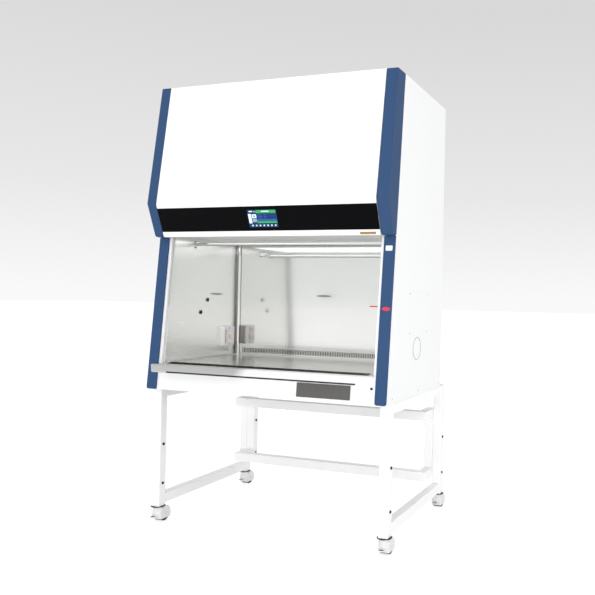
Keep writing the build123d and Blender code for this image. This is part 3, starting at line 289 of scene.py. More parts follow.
def ridged(name, colour, axis, pitch, depth, gloss=0.5, specular=0.4):
    material = coated(name, colour, ridge["grain"], ridge["depth"], ridge["drift"], gloss, 0.0, specular)
    tree = material.node_tree
    surface = tree.nodes["Principled BSDF"]
    under = surface.inputs["Normal"].links[0].from_socket
    place = addNode(tree, "ShaderNodeTexCoord").outputs["Object"]
    wave = addNode(tree, "ShaderNodeTexWave", [("Vector", place), ("Scale", 1 / (math.pi * pitch)),
                   ("Distortion", ridge["distortion"])], bands_direction=axis)
    bump = addNode(tree, "ShaderNodeBump", [("Strength", depth), ("Height", wave.outputs["Fac"]),
                   ("Distance", pitch * ridge["reachShare"]), ("Normal", under)])
    tree.links.new(bump.outputs["Normal"], surface.inputs["Normal"])
    return material


# glass with faint smears; its shadow passes the light
glass = {"smearScale": 5, "smearDetail": 4, "smearRoughness": 0.6, "smear": 0.03, "bending": 1.3}


def clearGlass(name, tint):
    material, tree, surface = startMaterial(name)
    place = addNode(tree, "ShaderNodeTexCoord").outputs["Object"]
    smears = noise(tree, place, glass["smearScale"], glass["smearDetail"], glass["smearRoughness"])
    tree.links.new(maths(tree, "MULTIPLY", smears, glass["smear"]), surface.inputs["Roughness"])
    surface.inputs["Base Color"].default_value = (*tint, 1)
    surface.inputs["Transmission Weight"].default_value = 1.0
    surface.inputs["IOR"].default_value = glass["bending"]
    clear = addNode(tree, "ShaderNodeBsdfTransparent", [("Color", (*tint, 1))])
    path = addNode(tree, "ShaderNodeLightPath")
    mix = addNode(tree, "ShaderNodeMixShader", [(0, path.outputs["Is Shadow Ray"]), (1, surface.outputs[0]),
                  (2, clear.outputs[0])])
    tree.links.new(mix.outputs[0], tree.nodes["Material Output"].inputs["Surface"])
    return material


# a lit screen or lamp: a smooth coat that glows in its own colour
glowCoat = {"grain": 1200, "depth": 0.01, "drift": 0.15, "gloss": 0.15, "dust": 0.0, "specular": 0.2}


def glowing(name, colour, strength):
    material = coated(name, colour, **glowCoat)
    surface = material.node_tree.nodes["Principled BSDF"]
    surface.inputs["Emission Color"].default_value = (*colour, 1)
    surface.inputs["Emission Strength"].default_value = strength
    return material


# coated: colour, grain per metre, peel depth, drift, gloss, dust, specular
# brushed: colour, stretch per metre on X, Y and Z, grain depth, streaks, gloss, dust, metallic
# ridged: colour, axis, pitch, ridge depth, gloss, specular
# glowing: colour, strength
finish = {
    "whitePaint": coated("whitePaint", (0.86, 0.865, 0.87), 700, 0.04, 0.12, 0.3, 0.08),
    "standPaint": coated("standPaint", (0.91, 0.912, 0.915), 700, 0.05, 0.2, 0.34, 0.15),
    "bluePaint": coated("bluePaint", (0.035, 0.077, 0.172), 800, 0.06, 0.3, 0.45, 0.0, 0.08),
    "wallSteel": brushed("wallSteel", (0.90, 0.90, 0.88), (5, 5, 420), 0.03, 0.14, 0.12, 0.0, 0.75),
    # rearSteel: bands of painted reflection on the coved corners of the rear liner
    "rearSteel": withPaintedReflectionBands(brushed("rearSteel", (0.80, 0.80, 0.785), (5, 5, 420), 0.02, 0.12, 0.0, 0.0, 0.95),
                        "X"),
    "floorSteel": brushed("floorSteel", (0.72, 0.72, 0.70), (4, 420, 4), 0.03, 0.2, 0.12),
    "plateSteel": brushed("plateSteel", (0.17, 0.168, 0.16), (300, 5, 5), 0.1, 0.4, 0.35),
    "panSteel": brushed("panSteel", (0.16, 0.16, 0.155), (4, 300, 4), 0.08, 0.3, 0.4),
    "blackFascia": coated("blackFascia", (0.0022, 0.0022, 0.0028), 500, 0.008, 0.1, 0.08, 0.0, 0.04),
    "blackPlastic": coated("blackPlastic", (0.016, 0.016, 0.017), 1200, 0.15, 0.2, 0.45, 0.1, 0.3),
    "boltBlack": brushed("boltBlack", (0.045, 0.045, 0.045), (300, 300, 300), 0.1, 0.4, 0.4),
    "gripGrey": coated("gripGrey", (0.22, 0.22, 0.215), 1200, 0.05, 0.2, 0.32),
    "greyPlastic": coated("greyPlastic", (0.74, 0.74, 0.74), 1200, 0.12, 0.2, 0.35, 0.1),
    # gapShadeGrey: dark ring round the port cover, painted shade for the gap around it
    "gapShadeGrey": coated("gapShadeGrey", (0.09, 0.09, 0.092), 1500, 0.2, 0.3, 0.6),
    "railPlastic": coated("railPlastic", (0.80, 0.80, 0.80), 1500, 0.05, 0.1, 0.42),
    "treadRubber": ridged("treadRubber", (0.016, 0.016, 0.017), "X", 0.006, 0.3, 0.6, 0.25),
    "zinc": brushed("zinc", (0.6, 0.6, 0.6), (300, 300, 300), 0.1, 0.4, 0.3),
    "strandedSteel": ridged("strandedSteel", (0.35, 0.35, 0.35), "DIAGONAL", 0.003, 0.6, 0.35),
    "galvanised": brushed("galvanised", (0.5, 0.51, 0.52), (25, 25, 25), 0.1, 0.6, 0.4),
    "castIron": coated("castIron", (0.12, 0.12, 0.125), 400, 0.5, 0.5, 0.55, 0.3),
    "filterMedia": ridged("filterMedia", (0.82, 0.82, 0.79), "Y", 0.006, 0.8, 0.8),
    # chrome: bands of painted reflection round the bar
    "chrome": withPaintedReflectionBands(brushed("chrome", (0.8, 0.8, 0.8), (4, 300, 300), 0.02, 0.1, 0.05), "Z"),
    "diffuserWhite": coated("diffuserWhite", (0.84, 0.84, 0.83), 900, 0.05, 0.1, 0.4),
    "brassValve": brushed("brassValve", (0.55, 0.42, 0.2), (200, 200, 200), 0.05, 0.3, 0.25),
    "sashGlass": clearGlass("sashGlass", (0.985, 0.995, 0.99)),
    "shadeBlack": coated("shadeBlack", (0.012, 0.012, 0.012), 700, 0.1, 0.2, 0.8, 0.0, 0.1),
    # hemShadePaint: near-black, painted shade for the shadow under the armrest nose
    "hemShadePaint": brushed("hemShadePaint", (0.03, 0.03, 0.028), (4, 300, 300), 0.08, 0.3, 0.5, 0.0, 0.4),
    # armrestSteel: its left part, below X -0.11, painted darker as a painted reflection
    "armrestSteel": paintedReflectionEnd(brushed("armrestSteel", (0.97, 0.97, 0.965), (4, 420, 4), 0.015, 0.05, 0.25,
                                      0.0, 0.25), -0.11, -0.04, 0.5),
    "lampGlass": clearGlass("lampGlass", (0.9, 0.92, 0.93)),
    "pilotOrange": glowing("pilotOrange", (0.85, 0.33, 0.06), 0.35),
    "markRed": coated("markRed", (0.62, 0.035, 0.05), 900, 0.02, 0.1, 0.3),
    "markOrange": coated("markOrange", (0.36, 0.19, 0.05), 900, 0.02, 0.3, 0.35),
    "markWhite": coated("markWhite", (0.86, 0.86, 0.86), 900, 0.02, 0.1, 0.4),
    "screenBlue": glowing("screenBlue", (0.006, 0.036, 0.1), 0.25),
    "screenDeep": glowing("screenDeep", (0.007, 0.03, 0.14), 0.25),
    "screenSky": glowing("screenSky", (0.03, 0.1, 0.3), 0.3),
    "screenGreen": glowing("screenGreen", (0.03, 0.28, 0.07), 0.6),
    "screenPale": glowing("screenPale", (0.55, 0.68, 0.78), 0.6),
    "screenGrey": glowing("screenGrey", (0.2, 0.27, 0.33), 0.5),
}
print("finishes made:", len(finish))

# which nodes wear each finish
worn = {
    "whitePaint": ["side_panel_left", "side_panel_right", "access_panel", "back_panel", "top_panel",
                   "hood_panel", "lower_front_panel", "work_lamp", "port_cover"],
    "standPaint": ["stand_legs", "side_rails", "rear_frame"],
    "bluePaint": ["upper_trims", "lower_trims"],
    "wallSteel": ["liner_left", "liner_right"],
    "diffuserWhite": ["ceiling_diffuser"],
    "rearSteel": ["rear_liner"],
    "floorSteel": ["work_tray", "front_grille", "armrest"],
    "panSteel": ["base_pan"],
    "plateSteel": ["front_plate"],
    "blackFascia": ["control_fascia", "touchscreen"],
    "blackPlastic": ["power_inlet", "drain_lever", "plugs", "caster_stems"],
    "boltBlack": ["stand_bolts"],
    "gripGrey": ["sash_grips"],
    "greyPlastic": ["caster_hood_" + c for c in corners] + ["caster_brake_" + c for c in corners],
    "railPlastic": ["sash_rails", "outlet_box", "sheave_left", "sheave_right"],
    "treadRubber": ["caster_wheel_" + c for c in corners],
    "zinc": ["sheave_brackets"],
    "strandedSteel": ["lift_cables"],
    "galvanised": ["blower_plenum", "blower_scroll", "blower_wheel"],
    "castIron": ["counterweights", "blower_motor"],
    "filterMedia": ["supply_filter", "exhaust_filter"],
    "chrome": ["iv_bar"],
    "brassValve": ["drain_valve"],
    "sashGlass": ["sash_glass"],
    "lampGlass": ["uv_lamp"],
}
# softened edges, in metres
edgeAngle, edgeSegments = math.radians(50), 2
edgeRadius = {"hood_panel": 0.0012, "upper_trims": 0.0012, "lower_trims": 0.0012, "side_panel_left": 0.0008,
              "side_panel_right": 0.0008, "top_panel": 0.0008, "lower_front_panel": 0.0012, "armrest": 0.0008,
              "stand_legs": 0.003, "side_rails": 0.003, "rear_frame": 0.003, "sash_glass": 0.0008}


def softenEdges(piece, width):
    bevel = piece.modifiers.new("softEdges", "BEVEL")
    bevel.width, bevel.segments = width, edgeSegments
    bevel.limit_method, bevel.angle_limit = "ANGLE", edgeAngle
    bevel.harden_normals = True


for finishName, names in worn.items():
    for name in names:
        data = nodes[name].data
        data.materials.clear()
        data.materials.append(finish[finishName])
for name, width in edgeRadius.items():
    softenEdges(nodes[name], width)
print("nodes dressed")

# where a piece sits: x right, y up and z straight out of the surface that a ray meets
surfaceTrees = {}
outside = 2.5  # metres from the middle, clear of every face


def seatOn(nodeName, start, direction, up=(0, 0, 1), lift=0.0):
    if nodeName not in surfaceTrees:
        mesh = nodes[nodeName].data
        surfaceTrees[nodeName] = BVHTree.FromPolygons([v.co for v in mesh.vertices],
                                                      [p.vertices for p in mesh.polygons])
    ray = Vector(direction).normalized()
    hit, out, _, _ = surfaceTrees[nodeName].ray_cast(Vector(start), ray)
    if out.dot(ray) > 0:
        out.negate()
    side = Vector(up).cross(out).normalized()
    turn = Matrix((side, out.cross(side), out)).transposed().to_4x4()
    return Matrix.Translation(hit + out * lift) @ turn


def roundedOutline(x, y, wide, high, radius=0.0, steps=5):
    points = []
    for signX, signY, first in ((1, 1, 0), (-1, 1, 90), (-1, -1, 180), (1, -1, 270)):
        for step in range(steps + 1 if radius else 1):
            angle = math.radians(first + 90 * step / steps)
            points.append((x + signX * (wide / 2 - radius) + radius * math.cos(angle),
                           y + signY * (high / 2 - radius) + radius * math.sin(angle)))
    return points


def ovalOutline(x, y, wide, high, steps=32):
    turns = [2 * math.pi * step / steps for step in range(steps)]
    return [(x + wide / 2 * math.cos(t), y + high / 2 * math.sin(t)) for t in turns]


def crossOutline(arm, half):
    quarter = [(half, half), (half, arm), (-half, arm)]
    points = []
    for cosine, sine in ((1, 0), (0, 1), (-1, 0), (0, -1)):
        points += [(x * cosine - y * sine, x * sine + y * cosine) for x, y in quarter]
    return points


def addPrism(form, seat, outline, bottom, top, material=0, inset=0.0):
    # a plate with its upper rim drawn in by the inset
    middleX = sum(x for x, _ in outline) / len(outline)
    middleY = sum(y for _, y in outline) / len(outline)
    keep = 1 - inset / max(math.hypot(x - middleX, y - middleY) for x, y in outline)
    drawnIn = [(middleX + (x - middleX) * keep, middleY + (y - middleY) * keep) for x, y in outline]
    layers = [(outline, bottom)] + ([(outline, top - inset)] if inset else []) + [(drawnIn, top)]
    rings = [[form.verts.new(seat @ Vector((x, y, height))) for x, y in points] for points, height in layers]
    faces = [form.faces.new(rings[0]), form.faces.new(rings[-1])]
    for lower, upper in zip(rings, rings[1:]):
        for k in range(len(outline)):
            n = (k + 1) % len(outline)
            faces.append(form.faces.new((lower[k], lower[n], upper[n], upper[k])))
    for face in faces:
        face.material_index = material


def addTurned(form, seat, profile, segments=24, material=0):
    # profile: radius and height pairs; a radius of 0 closes it
    rings = []
    for radius, height in profile:
        turns = [2 * math.pi * k / segments for k in range(segments if radius else 1)]
        rings.append([form.verts.new(seat @ Vector((radius * math.cos(t), radius * math.sin(t), height)))
                      for t in turns])
    for lower, upper in zip(rings, rings[1:]):
        for k in range(segments):
            n = (k + 1) % segments
            ring = [lower[k % len(lower)], lower[n % len(lower)],
                    upper[n % len(upper)], upper[k % len(upper)]]
            face = form.faces.new(list(dict.fromkeys(ring)))
            face.material_index, face.smooth = material, True


def makePiece(name, form, surfaces, body):
    bmesh.ops.recalc_face_normals(form, faces=form.faces)
    mesh = bpy.data.meshes.new(name)
    form.to_mesh(mesh)
    form.free()
    for surface in surfaces:
        mesh.materials.append(finish[surface])
    piece = bpy.data.objects.new(name, mesh)
    bpy.context.scene.collection.objects.link(piece)
    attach(piece, body)
    return piece


# touchscreen picture: plain tiles, each with its middle, width and height as shares of the screen,
# its finish, its layer and its corner radius in metres
screen = {"wide": 0.162, "high": 0.088, "lift": 0.0001, "step": 0.00012}
screenFinishes = ["screenBlue", "screenDeep", "screenSky", "screenGreen", "screenPale", "screenGrey"]
tiles = [
    (0.5, 0.5, 1, 1, "screenBlue", 1, 0.002), (0.64, 0.11, 0.68, 0.17, "screenGreen", 2, 0),
    (0.62, 0.09, 0.26, 0.05, "screenPale", 3, 0.001), (0.12, 0.09, 0.12, 0.06, "screenPale", 2, 0.001),
    (0.245, 0.11, 0.07, 0.07, "screenGrey", 2, 0.001), (0.07, 0.5, 0.1, 0.54, "screenPale", 2, 0),
    (0.22, 0.36, 0.15, 0.2, "screenPale", 2, 0.002), (0.22, 0.36, 0.06, 0.08, "screenSky", 3, 0.001),
    (0.22, 0.6, 0.15, 0.2, "screenGrey", 2, 0.002), (0.64, 0.42, 0.68, 0.38, "screenDeep", 2, 0),
    (0.64, 0.59, 0.68, 0.09, "screenSky", 3, 0), (0.64, 0.71, 0.68, 0.1, "screenGreen", 2, 0),
]
readouts = {"count": 3, "top": 0.3, "pitch": 0.09, "left": 0.42, "right": 0.6, "high": 0.03, "wideLeft": 0.16,
            "wideRight": 0.1, "shorter": 0.02}
icons = {"count": 7, "left": 0.12, "pitch": 0.132, "row": 0.9, "size": (0.062, 0.11), "radius": 0.002,
         "picture": (0.04, 0.05), "pictureRow": 0.89, "pictureRadius": 0.001}
for row in range(readouts["count"]):
    height = readouts["top"] + readouts["pitch"] * row
    tiles.append((readouts["left"], height, readouts["wideLeft"], readouts["high"], "screenSky", 3, 0))
    tiles.append((readouts["right"], height, readouts["wideRight"] - readouts["shorter"] * row,
                  readouts["high"], "screenSky", 3, 0))
for icon in range(icons["count"]):
    across = icons["left"] + icons["pitch"] * icon
    tiles.append((across, icons["row"], *icons["size"], "screenGrey", 2, icons["radius"]))
    tiles.append((across, icons["pictureRow"], *icons["picture"], "screenPale", 3, icons["pictureRadius"]))


def makeScreen():
    form = bmesh.new()
    low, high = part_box("touchscreen")
    seat = seatOn("touchscreen", (0, -outside, (low[2] + high[2]) / 2), (0, 1, 0))
    for x, y, wide, tall, surface, layer, radius in tiles:
        outline = roundedOutline((x - 0.5) * screen["wide"], (0.5 - y) * screen["high"],
                                 wide * screen["wide"], tall * screen["high"], radius)
        bottom = screen["lift"] + (layer - 1) * screen["step"]
        top = screen["lift"] + layer * screen["step"]
        addPrism(form, seat, outline, bottom, top, screenFinishes.index(surface))
    makePiece("screenTiles", form, screenFinishes, "hood")


makeScreen()

# plain marks: the carrier, where its ray starts on X and Z, its size in metres and its finish
markLift = 0.00005
marks = {
    "sashHeightMark": {"node": "lower_trims", "at": (0.6435, 1.153), "size": (0.041, 0.019), "thick": 0.0014,
                       "finish": "markRed", "body": "cabinet", "oval": True},
    "trimTab": {"node": "lower_trims", "at": (0.6405, 1.438), "size": (0.034, 0.024), "thick": 0.0006,
                "finish": "markWhite", "body": "cabinet", "oval": False},
    "lipStrip": {"node": "hood_panel", "at": (0.549, 1.506), "size": (0.082, 0.012), "thick": 0.0004,
                 "finish": "markOrange", "body": "hood", "oval": False},
    "glassStrip": {"node": "sash_glass", "at": (0.572, 1.163), "size": (0.044, 0.006), "thick": 0.0004,
                   "finish": "markRed", "body": "sash", "oval": False},
}


def makeMarks():
    for name, mark in marks.items():
        form = bmesh.new()
        seat = seatOn(mark["node"], (mark["at"][0], -outside, mark["at"][1]), (0, 1, 0), lift=markLift)
        wide, high = mark["size"]
        outline = ovalOutline(0, 0, wide, high)
        if not mark["oval"]:
            outline = roundedOutline(0, 0, wide, high, high / 8)
        addPrism(form, seat, outline, 0, mark["thick"], inset=mark["thick"] / 3)
        makePiece(name, form, [mark["finish"]], mark["body"])


makeMarks()

# armrest: a folded sheet, narrow between the rails, wide ahead of them and drawn in to the nose, more at its
# right end, with a near-black hem strip on its front edge as painted shade and the white apron that closes
# the space under it
armrest = {"sheet": 0.0015, "back": -0.4178, "wing": -0.4395, "wingStep": 0.0002, "shoulder": -0.4665,
           "nose": -0.5065, "top": 0.8405, "noseTop": 0.8135, "backHalf": 0.5965, "wideHalf": 0.6178,
           "noseLeft": 0.581, "noseRight": 0.552, "lip": 0.009, "bend": 0.0035, "bendShare": 0.25,
           "corner": 0.006, "fold": 0.001, "columns": 24}
hem = {"high": 0.0075, "left": 0.49, "right": 0.548, "proud": 0.0006, "sunk": 0.0002, "edge": 0.0002}
apron = {"foot": 0.7945, "half": 0.6115, "lean": 0.0998, "front": -0.4188, "gap": 0.001, "thick": 0.0015,
         "radius": 0.002, "edge": 0.0004}


def armrestStations():
    # left end, right end, depth and height of the sheet, from its back edge to the lip under the nose
    a = armrest
    back, wide, top, shoulder, fold = a["backHalf"], a["wideHalf"], a["top"], a["shoulder"], a["fold"]
    left, right, nose, noseTop, corner = a["noseLeft"], a["noseRight"], a["nose"], a["noseTop"], a["corner"]
    slope, foot = (noseTop - top) / (nose - shoulder), noseTop - hem["high"]
    flat = [(back, back, a["back"], top), (back, back, a["wing"] + a["wingStep"], top),
            (wide, wide, a["wing"], top), (wide, wide, shoulder + a["bend"], top),
            (wide, wide, shoulder, top - a["bend"] * slope * a["bendShare"])]
    sloped = [(wide + (left - wide) * share, wide + (right - wide) * share,
               shoulder + (nose - shoulder) * share, top + (noseTop - top) * share)
              for share in (0.25, 0.5, 0.75)]
    folded = [(left + 2 * fold, right + 2 * fold, nose + fold, noseTop), (left, right, nose, noseTop - fold),
              (left - corner / 3, right, nose, foot + fold), (left - corner, right - fold, nose + fold, foot),
              (left - 2 * corner, right - corner, nose + a["lip"], foot)]
    return flat + sloped + folded


def makeArmrest():
    form = bmesh.new()
    columns = armrest["columns"]
    rows = [[form.verts.new((-left + (left + right) * k / columns, y, z)) for k in range(columns + 1)]
            for left, right, y, z in armrestStations()]
    for first, second in zip(rows, rows[1:]):
        for k in range(columns):
            form.faces.new((first[k], first[k + 1], second[k + 1], second[k]))
    for face in form.faces:
        face.normal_update()
    if sum(face.normal.z for face in form.faces) < 0:
        bmesh.ops.reverse_faces(form, faces=form.faces)
    bmesh.ops.solidify(form, geom=form.faces[:], thickness=armrest["sheet"])
    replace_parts(makePiece("armrestSheet", form, ["armrestSteel"], "cabinet"), "armrest")


# painted shade: a near-black strip along the nose's front edge stands for the shadow under the nose
def makeHemShade():
    form = bmesh.new()
    middle = (0, armrest["nose"] - hem["sunk"], armrest["noseTop"] - hem["high"] / 2)
    seat = Matrix.Translation(middle) @ Matrix.Rotation(math.pi / 2, 4, "X")
    outline = roundedOutline((hem["right"] - hem["left"]) / 2, 0, hem["left"] + hem["right"], hem["high"],
                             hem["high"] / 3)
    addPrism(form, seat, outline, 0, hem["proud"], 0, hem["edge"])
    makePiece("armrestHemShade", form, ["hemShadePaint"], "cabinet")


def makeApron():
    form = bmesh.new()
    high = armrest["top"] - armrest["sheet"] - apron["gap"] - apron["foot"]
    turn = Matrix.Rotation(math.pi / 2 - math.atan(apron["lean"]), 4, "X")
    seat = Matrix.Translation((0, apron["front"], apron["foot"])) @ turn
    outline = roundedOutline(0, high / 2, 2 * apron["half"], high, apron["radius"])
    addPrism(form, seat, outline, -apron["thick"], 0, 0, apron["edge"])
    makePiece("armrestApron", form, ["whitePaint"], "cabinet")


makeArmrest()
makeHemShade()
makeApron()

# painted shade: dark tiles in each slot of the two grilles stand for the shadowed ducts behind them
slotShadeTiles = {
    "frontSlotShades": {"node": "front_grille", "start": (-0.39, 2), "direction": (0, 0, -1),
                       "up": (0, 1, 0), "count": 103, "size": (0.0082, 0.040)},
    "rearSlotShades": {"node": "rear_liner", "start": (0, 0.868), "direction": (0, 1, 0),
                      "up": (0, 0, 1), "count": 101, "size": (0.0056, 0.019)},
}
slotPitch, slotDepth, slotLift = 0.011, 0.0004, 0.0001


def makeSlotShadeTiles():
    for name, dark in slotShadeTiles.items():
        form = bmesh.new()
        start = (slotPitch / 2, *dark["start"])
        seat = seatOn(dark["node"], start, dark["direction"], dark["up"], slotLift)
        turned = 1 if seat.col[0].x > 0 else -1
        for k in range(dark["count"]):
            x = turned * ((k - (dark["count"] - 1) / 2) * slotPitch - slotPitch / 2)
            addPrism(form, seat, roundedOutline(x, 0, *dark["size"]), 0, slotDepth)
        makePiece(name, form, ["shadeBlack"], "cabinet")


makeSlotShadeTiles()

# outlet face: slots along the front edge, the pilot lamp between the sockets, screws above and below
outlet = {"middle": (0.1545, 0.957), "lift": 0.0001, "slots": 9, "slotPitch": 0.009, "slotLine": -0.036,
          "slot": (0.009, 0.0042, 0.0015), "slotProud": 0.00075, "pilot": (0.014, 0.018, 0.003),
          "pilotProud": 0.003, "pilotEdge": 0.00075, "screwGap": 0.047, "screwSides": 16,
          "screw": ((0, 0.0012), (0.0022, 0.0011), (0.0034, 0.0004), (0.0034, 0), (0, 0))}


def makeOutletFace():
    form = bmesh.new()
    y, z = outlet["middle"]
    seat = seatOn("outlet_box", (0, y, z), (-1, 0, 0), lift=outlet["lift"])
    for row in range(outlet["slots"]):
        height = (row - (outlet["slots"] - 1) / 2) * outlet["slotPitch"]
        addPrism(form, seat, roundedOutline(outlet["slotLine"], height, *outlet["slot"]), 0,
                 outlet["slotProud"], 1)
    addPrism(form, seat, roundedOutline(0, 0, *outlet["pilot"]), 0, outlet["pilotProud"], 2,
             outlet["pilotEdge"])
    for sign in (-1, 1):
        screw = seat @ Matrix.Translation((0, sign * outlet["screwGap"], 0))
        addTurned(form, screw, outlet["screw"], outlet["screwSides"], 1)
    makePiece("outletFace", form, ["railPlastic", "blackPlastic", "pilotOrange"], "cabinet")


makeOutletFace()

# painted shade: a dark ring round the port cover stands for the shadow in the gap around it; its middle on Y
# and Z, and its section as radius and height pairs
port = {"middle": (-0.0315, 0.948), "segments": 64,
        "section": ((0.0556, 0), (0.056, 0.0009), (0.0572, 0.0009), (0.0578, 0), (0.0556, 0))}


def makePortGapShade():
    form = bmesh.new()
    y, z = port["middle"]
    face = Matrix.Translation((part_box("side_panel_right")[1][0], y, z))
    addTurned(form, face @ Matrix.Rotation(math.pi / 2, 4, "Y"), port["section"], port["segments"])
    makePiece("portGapShade", form, ["gapShadeGrey"], "cabinet")


makePortGapShade()

# a domed screw with a cross recess: its section as shares of radius and height
screwHead = {"radius": 0.0040, "height": 0.0016, "crossArm": 0.0022, "crossHalf": 0.00045,
             "crossFoot": 0.9, "crossTop": 1.02, "segments": 14, "lift": 0.00005,
             "section": ((0, 1), (0.5, 0.96), (0.85, 0.68), (1, 0.25), (1, 0), (0, 0))}


def addScrew(form, seat):
    radius, height = screwHead["radius"], screwHead["height"]
    section = [(radius * across, height * up) for across, up in screwHead["section"]]
    addTurned(form, seat, section, screwHead["segments"])
    # painted shade: the cross recess is drawn as a raised black cross, for the shade inside it
    addPrism(form, seat, crossOutline(screwHead["crossArm"], screwHead["crossHalf"]),
             height * screwHead["crossFoot"], height * screwHead["crossTop"], 1)


# screws: carrier, side that the ray comes from, and the two coordinates of each row
screwRows = {
    "backScrews": {"node": "back_panel", "from": "back", "columns": (-0.61, -0.205, 0.205, 0.61),
                   "rows": (0.74, 1.11, 1.48, 1.85, 2.215)},
    "accessScrews": {"node": "access_panel", "from": "right", "columns": (-0.142, 0.119),
                     "rows": (1.029, 1.227)},
    "roofScrews": {"node": "top_panel", "from": "top", "columns": (-0.64, -0.32, 0.32, 0.64),
                   "rows": (-0.2, 0.34)},
    "sideScrewsRight": {"node": "side_panel_right", "from": "right", "columns": (-0.36, 0.0, 0.345),
                        "rows": (0.73,)},
    "sideScrewsLeft": {"node": "side_panel_left", "from": "left", "columns": (-0.36, 0.0, 0.345),
                       "rows": (0.73,)},
}
# start, direction and upward side of a ray from each side
rays = {"back": lambda u, v: ((u, outside, v), (0, -1, 0), (0, 0, 1)),
        "right": lambda u, v: ((outside, u, v), (-1, 0, 0), (0, 0, 1)),
        "left": lambda u, v: ((-outside, u, v), (1, 0, 0), (0, 0, 1)),
        "top": lambda u, v: ((u, v, outside), (0, 0, -1), (0, 1, 0))}


def makeScrews():
    for name, group in screwRows.items():
        form = bmesh.new()
        for column in group["columns"]:
            for row in group["rows"]:
                start, direction, up = rays[group["from"]](column, row)
                addScrew(form, seatOn(group["node"], start, direction, up, screwHead["lift"]))
        makePiece(name, form, ["zinc", "blackPlastic"], "cabinet")


makeScrews()

# a rim round the recess on each stand bolt
boltRim = {"bore": 0.0035, "boreEdge": 0.0005, "radius": 0.0062, "outerEdge": 0.0006, "proud": 0.0011,
           "boreShare": 0.8, "outerShare": 0.5, "lift": 0.00004, "segments": 18, "sameVertex": 0.00001}


def boltPlaces():
    # loose parts of the bolt mesh, as heights and depths
    form = bmesh.new()
    form.from_mesh(nodes["stand_bolts"].data)
    bmesh.ops.remove_doubles(form, verts=form.verts, dist=boltRim["sameVertex"])
    places, waiting = set(), set(form.verts)
    while waiting:
        island, edge = set(), [waiting.pop()]
        while edge:
            vert = edge.pop()
            island.add(vert)
            for link in vert.link_edges:
                other = link.other_vert(vert)
                if other in waiting:
                    waiting.discard(other)
                    edge.append(other)
        places.add(tuple(round(sum(v.co[axis] for v in island) / len(island), 3) for axis in (2, 1)))
    form.free()
    return sorted(places)


def makeBoltRims():
    form = bmesh.new()
    bore, radius, proud = boltRim["bore"], boltRim["radius"], boltRim["proud"]
    section = [(bore, 0), (bore, proud * boltRim["boreShare"]), (bore + boltRim["boreEdge"], proud),
               (radius - boltRim["outerEdge"], proud), (radius, proud * boltRim["outerShare"]), (radius, 0),
               (bore, 0)]
    for side in (-1, 1):
        for height, y in boltPlaces():
            for start, direction in ((1, -1), (0, 1)):
                seat = seatOn("stand_bolts", (side * start, y, height), (side * direction, 0, 0),
                              lift=boltRim["lift"])
                addTurned(form, seat, section, boltRim["segments"])
    makePiece("boltRims", form, ["boltBlack"], "cabinet")


makeBoltRims()

# caster details: hub caps on the cover, a cap round the stem under the leg, a ribbed pad on the brake
hub = {"height": 0.0375, "lift": 0.00005, "radius": 0.0085, "proud": 0.0022, "segments": 28,
       "section": ((0, 1), (0.35, 1), (0.4, 0.6), (0.75, 0.6), (0.8, 1), (0.95, 0.9), (1, 0), (0, 0))}
stemCap = {"trail": 0.027, "segments": 40,
           "section": ((0.0245, 0.0812), (0.0355, 0.0812), (0.0365, 0.0822), (0.0365, 0.0848),
                       (0.0355, 0.0856), (0.0245, 0.0856), (0.0245, 0.0812))}
pad = {"wide": 0.022, "deep": 0.008, "lift": 0.00005, "radius": 0.002, "proud": 0.0012, "edge": 0.0004,
       "ribs": 5, "ribPitch": 0.004, "ribWide": 0.0014, "ribShare": 0.8, "ribFoot": 0.001, "ribTop": 0.0018}


def makeHubCaps(corner, stemX, wheelY):
    form = bmesh.new()
    section = [(hub["radius"] * across, hub["proud"] * up) for across, up in hub["section"]]
    for side in (-1, 1):
        start = (stemX + side, wheelY, hub["height"])
        seat = seatOn("caster_hood_" + corner, start, (-side, 0, 0), lift=hub["lift"])
        addTurned(form, seat, section, hub["segments"])
    makePiece("hubCaps_" + corner, form, ["greyPlastic"], "swivel_" + corner)


def makeStemCap(corner, stemX, stemY):
    form = bmesh.new()
    addTurned(form, Matrix.Translation((stemX, stemY, 0)), stemCap["section"], stemCap["segments"])
    makePiece("stemCap_" + corner, form, ["blackPlastic"], "cabinet")


def makeBrakePad(corner, stemX):
    form = bmesh.new()
    start = (stemX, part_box("caster_brake_" + corner)[0][1] + pad["deep"], 1)
    seat = seatOn("caster_brake_" + corner, start, (0, 0, -1), (0, 1, 0), pad["lift"])
    outline = roundedOutline(0, 0, pad["wide"], pad["deep"], pad["radius"])
    addPrism(form, seat, outline, 0, pad["proud"], inset=pad["edge"])
    for rib in range(pad["ribs"]):
        x = (rib - (pad["ribs"] - 1) / 2) * pad["ribPitch"]
        addPrism(form, seat, roundedOutline(x, 0, pad["ribWide"], pad["deep"] * pad["ribShare"]),
                 pad["ribFoot"], pad["ribTop"])
    makePiece("brakePad_" + corner, form, ["blackPlastic"], "brake_" + corner)


for corner in corners:
    cover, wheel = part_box("caster_hood_" + corner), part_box("caster_wheel_" + corner)
    stemX, wheelY = (cover[0][0] + cover[1][0]) / 2, (wheel[0][1] + wheel[1][1]) / 2
    makeHubCaps(corner, stemX, wheelY)
    makeStemCap(corner, stemX, wheelY - stemCap["trail"])
    makeBrakePad(corner, stemX)

inlet = {"middle": (0.48, 2.128), "screwGap": 0.031}


def makeInletScrews():
    form = bmesh.new()
    for side in (-1, 1):
        x = inlet["middle"][0] + side * inlet["screwGap"]
        start = (x, outside, inlet["middle"][1])
        addScrew(form, seatOn("power_inlet", start, (0, -1, 0), lift=screwHead["lift"]))
    makePiece("inletScrews", form, ["zinc", "blackPlastic"], "cabinet")


makeInletScrews()
print("pieces made")

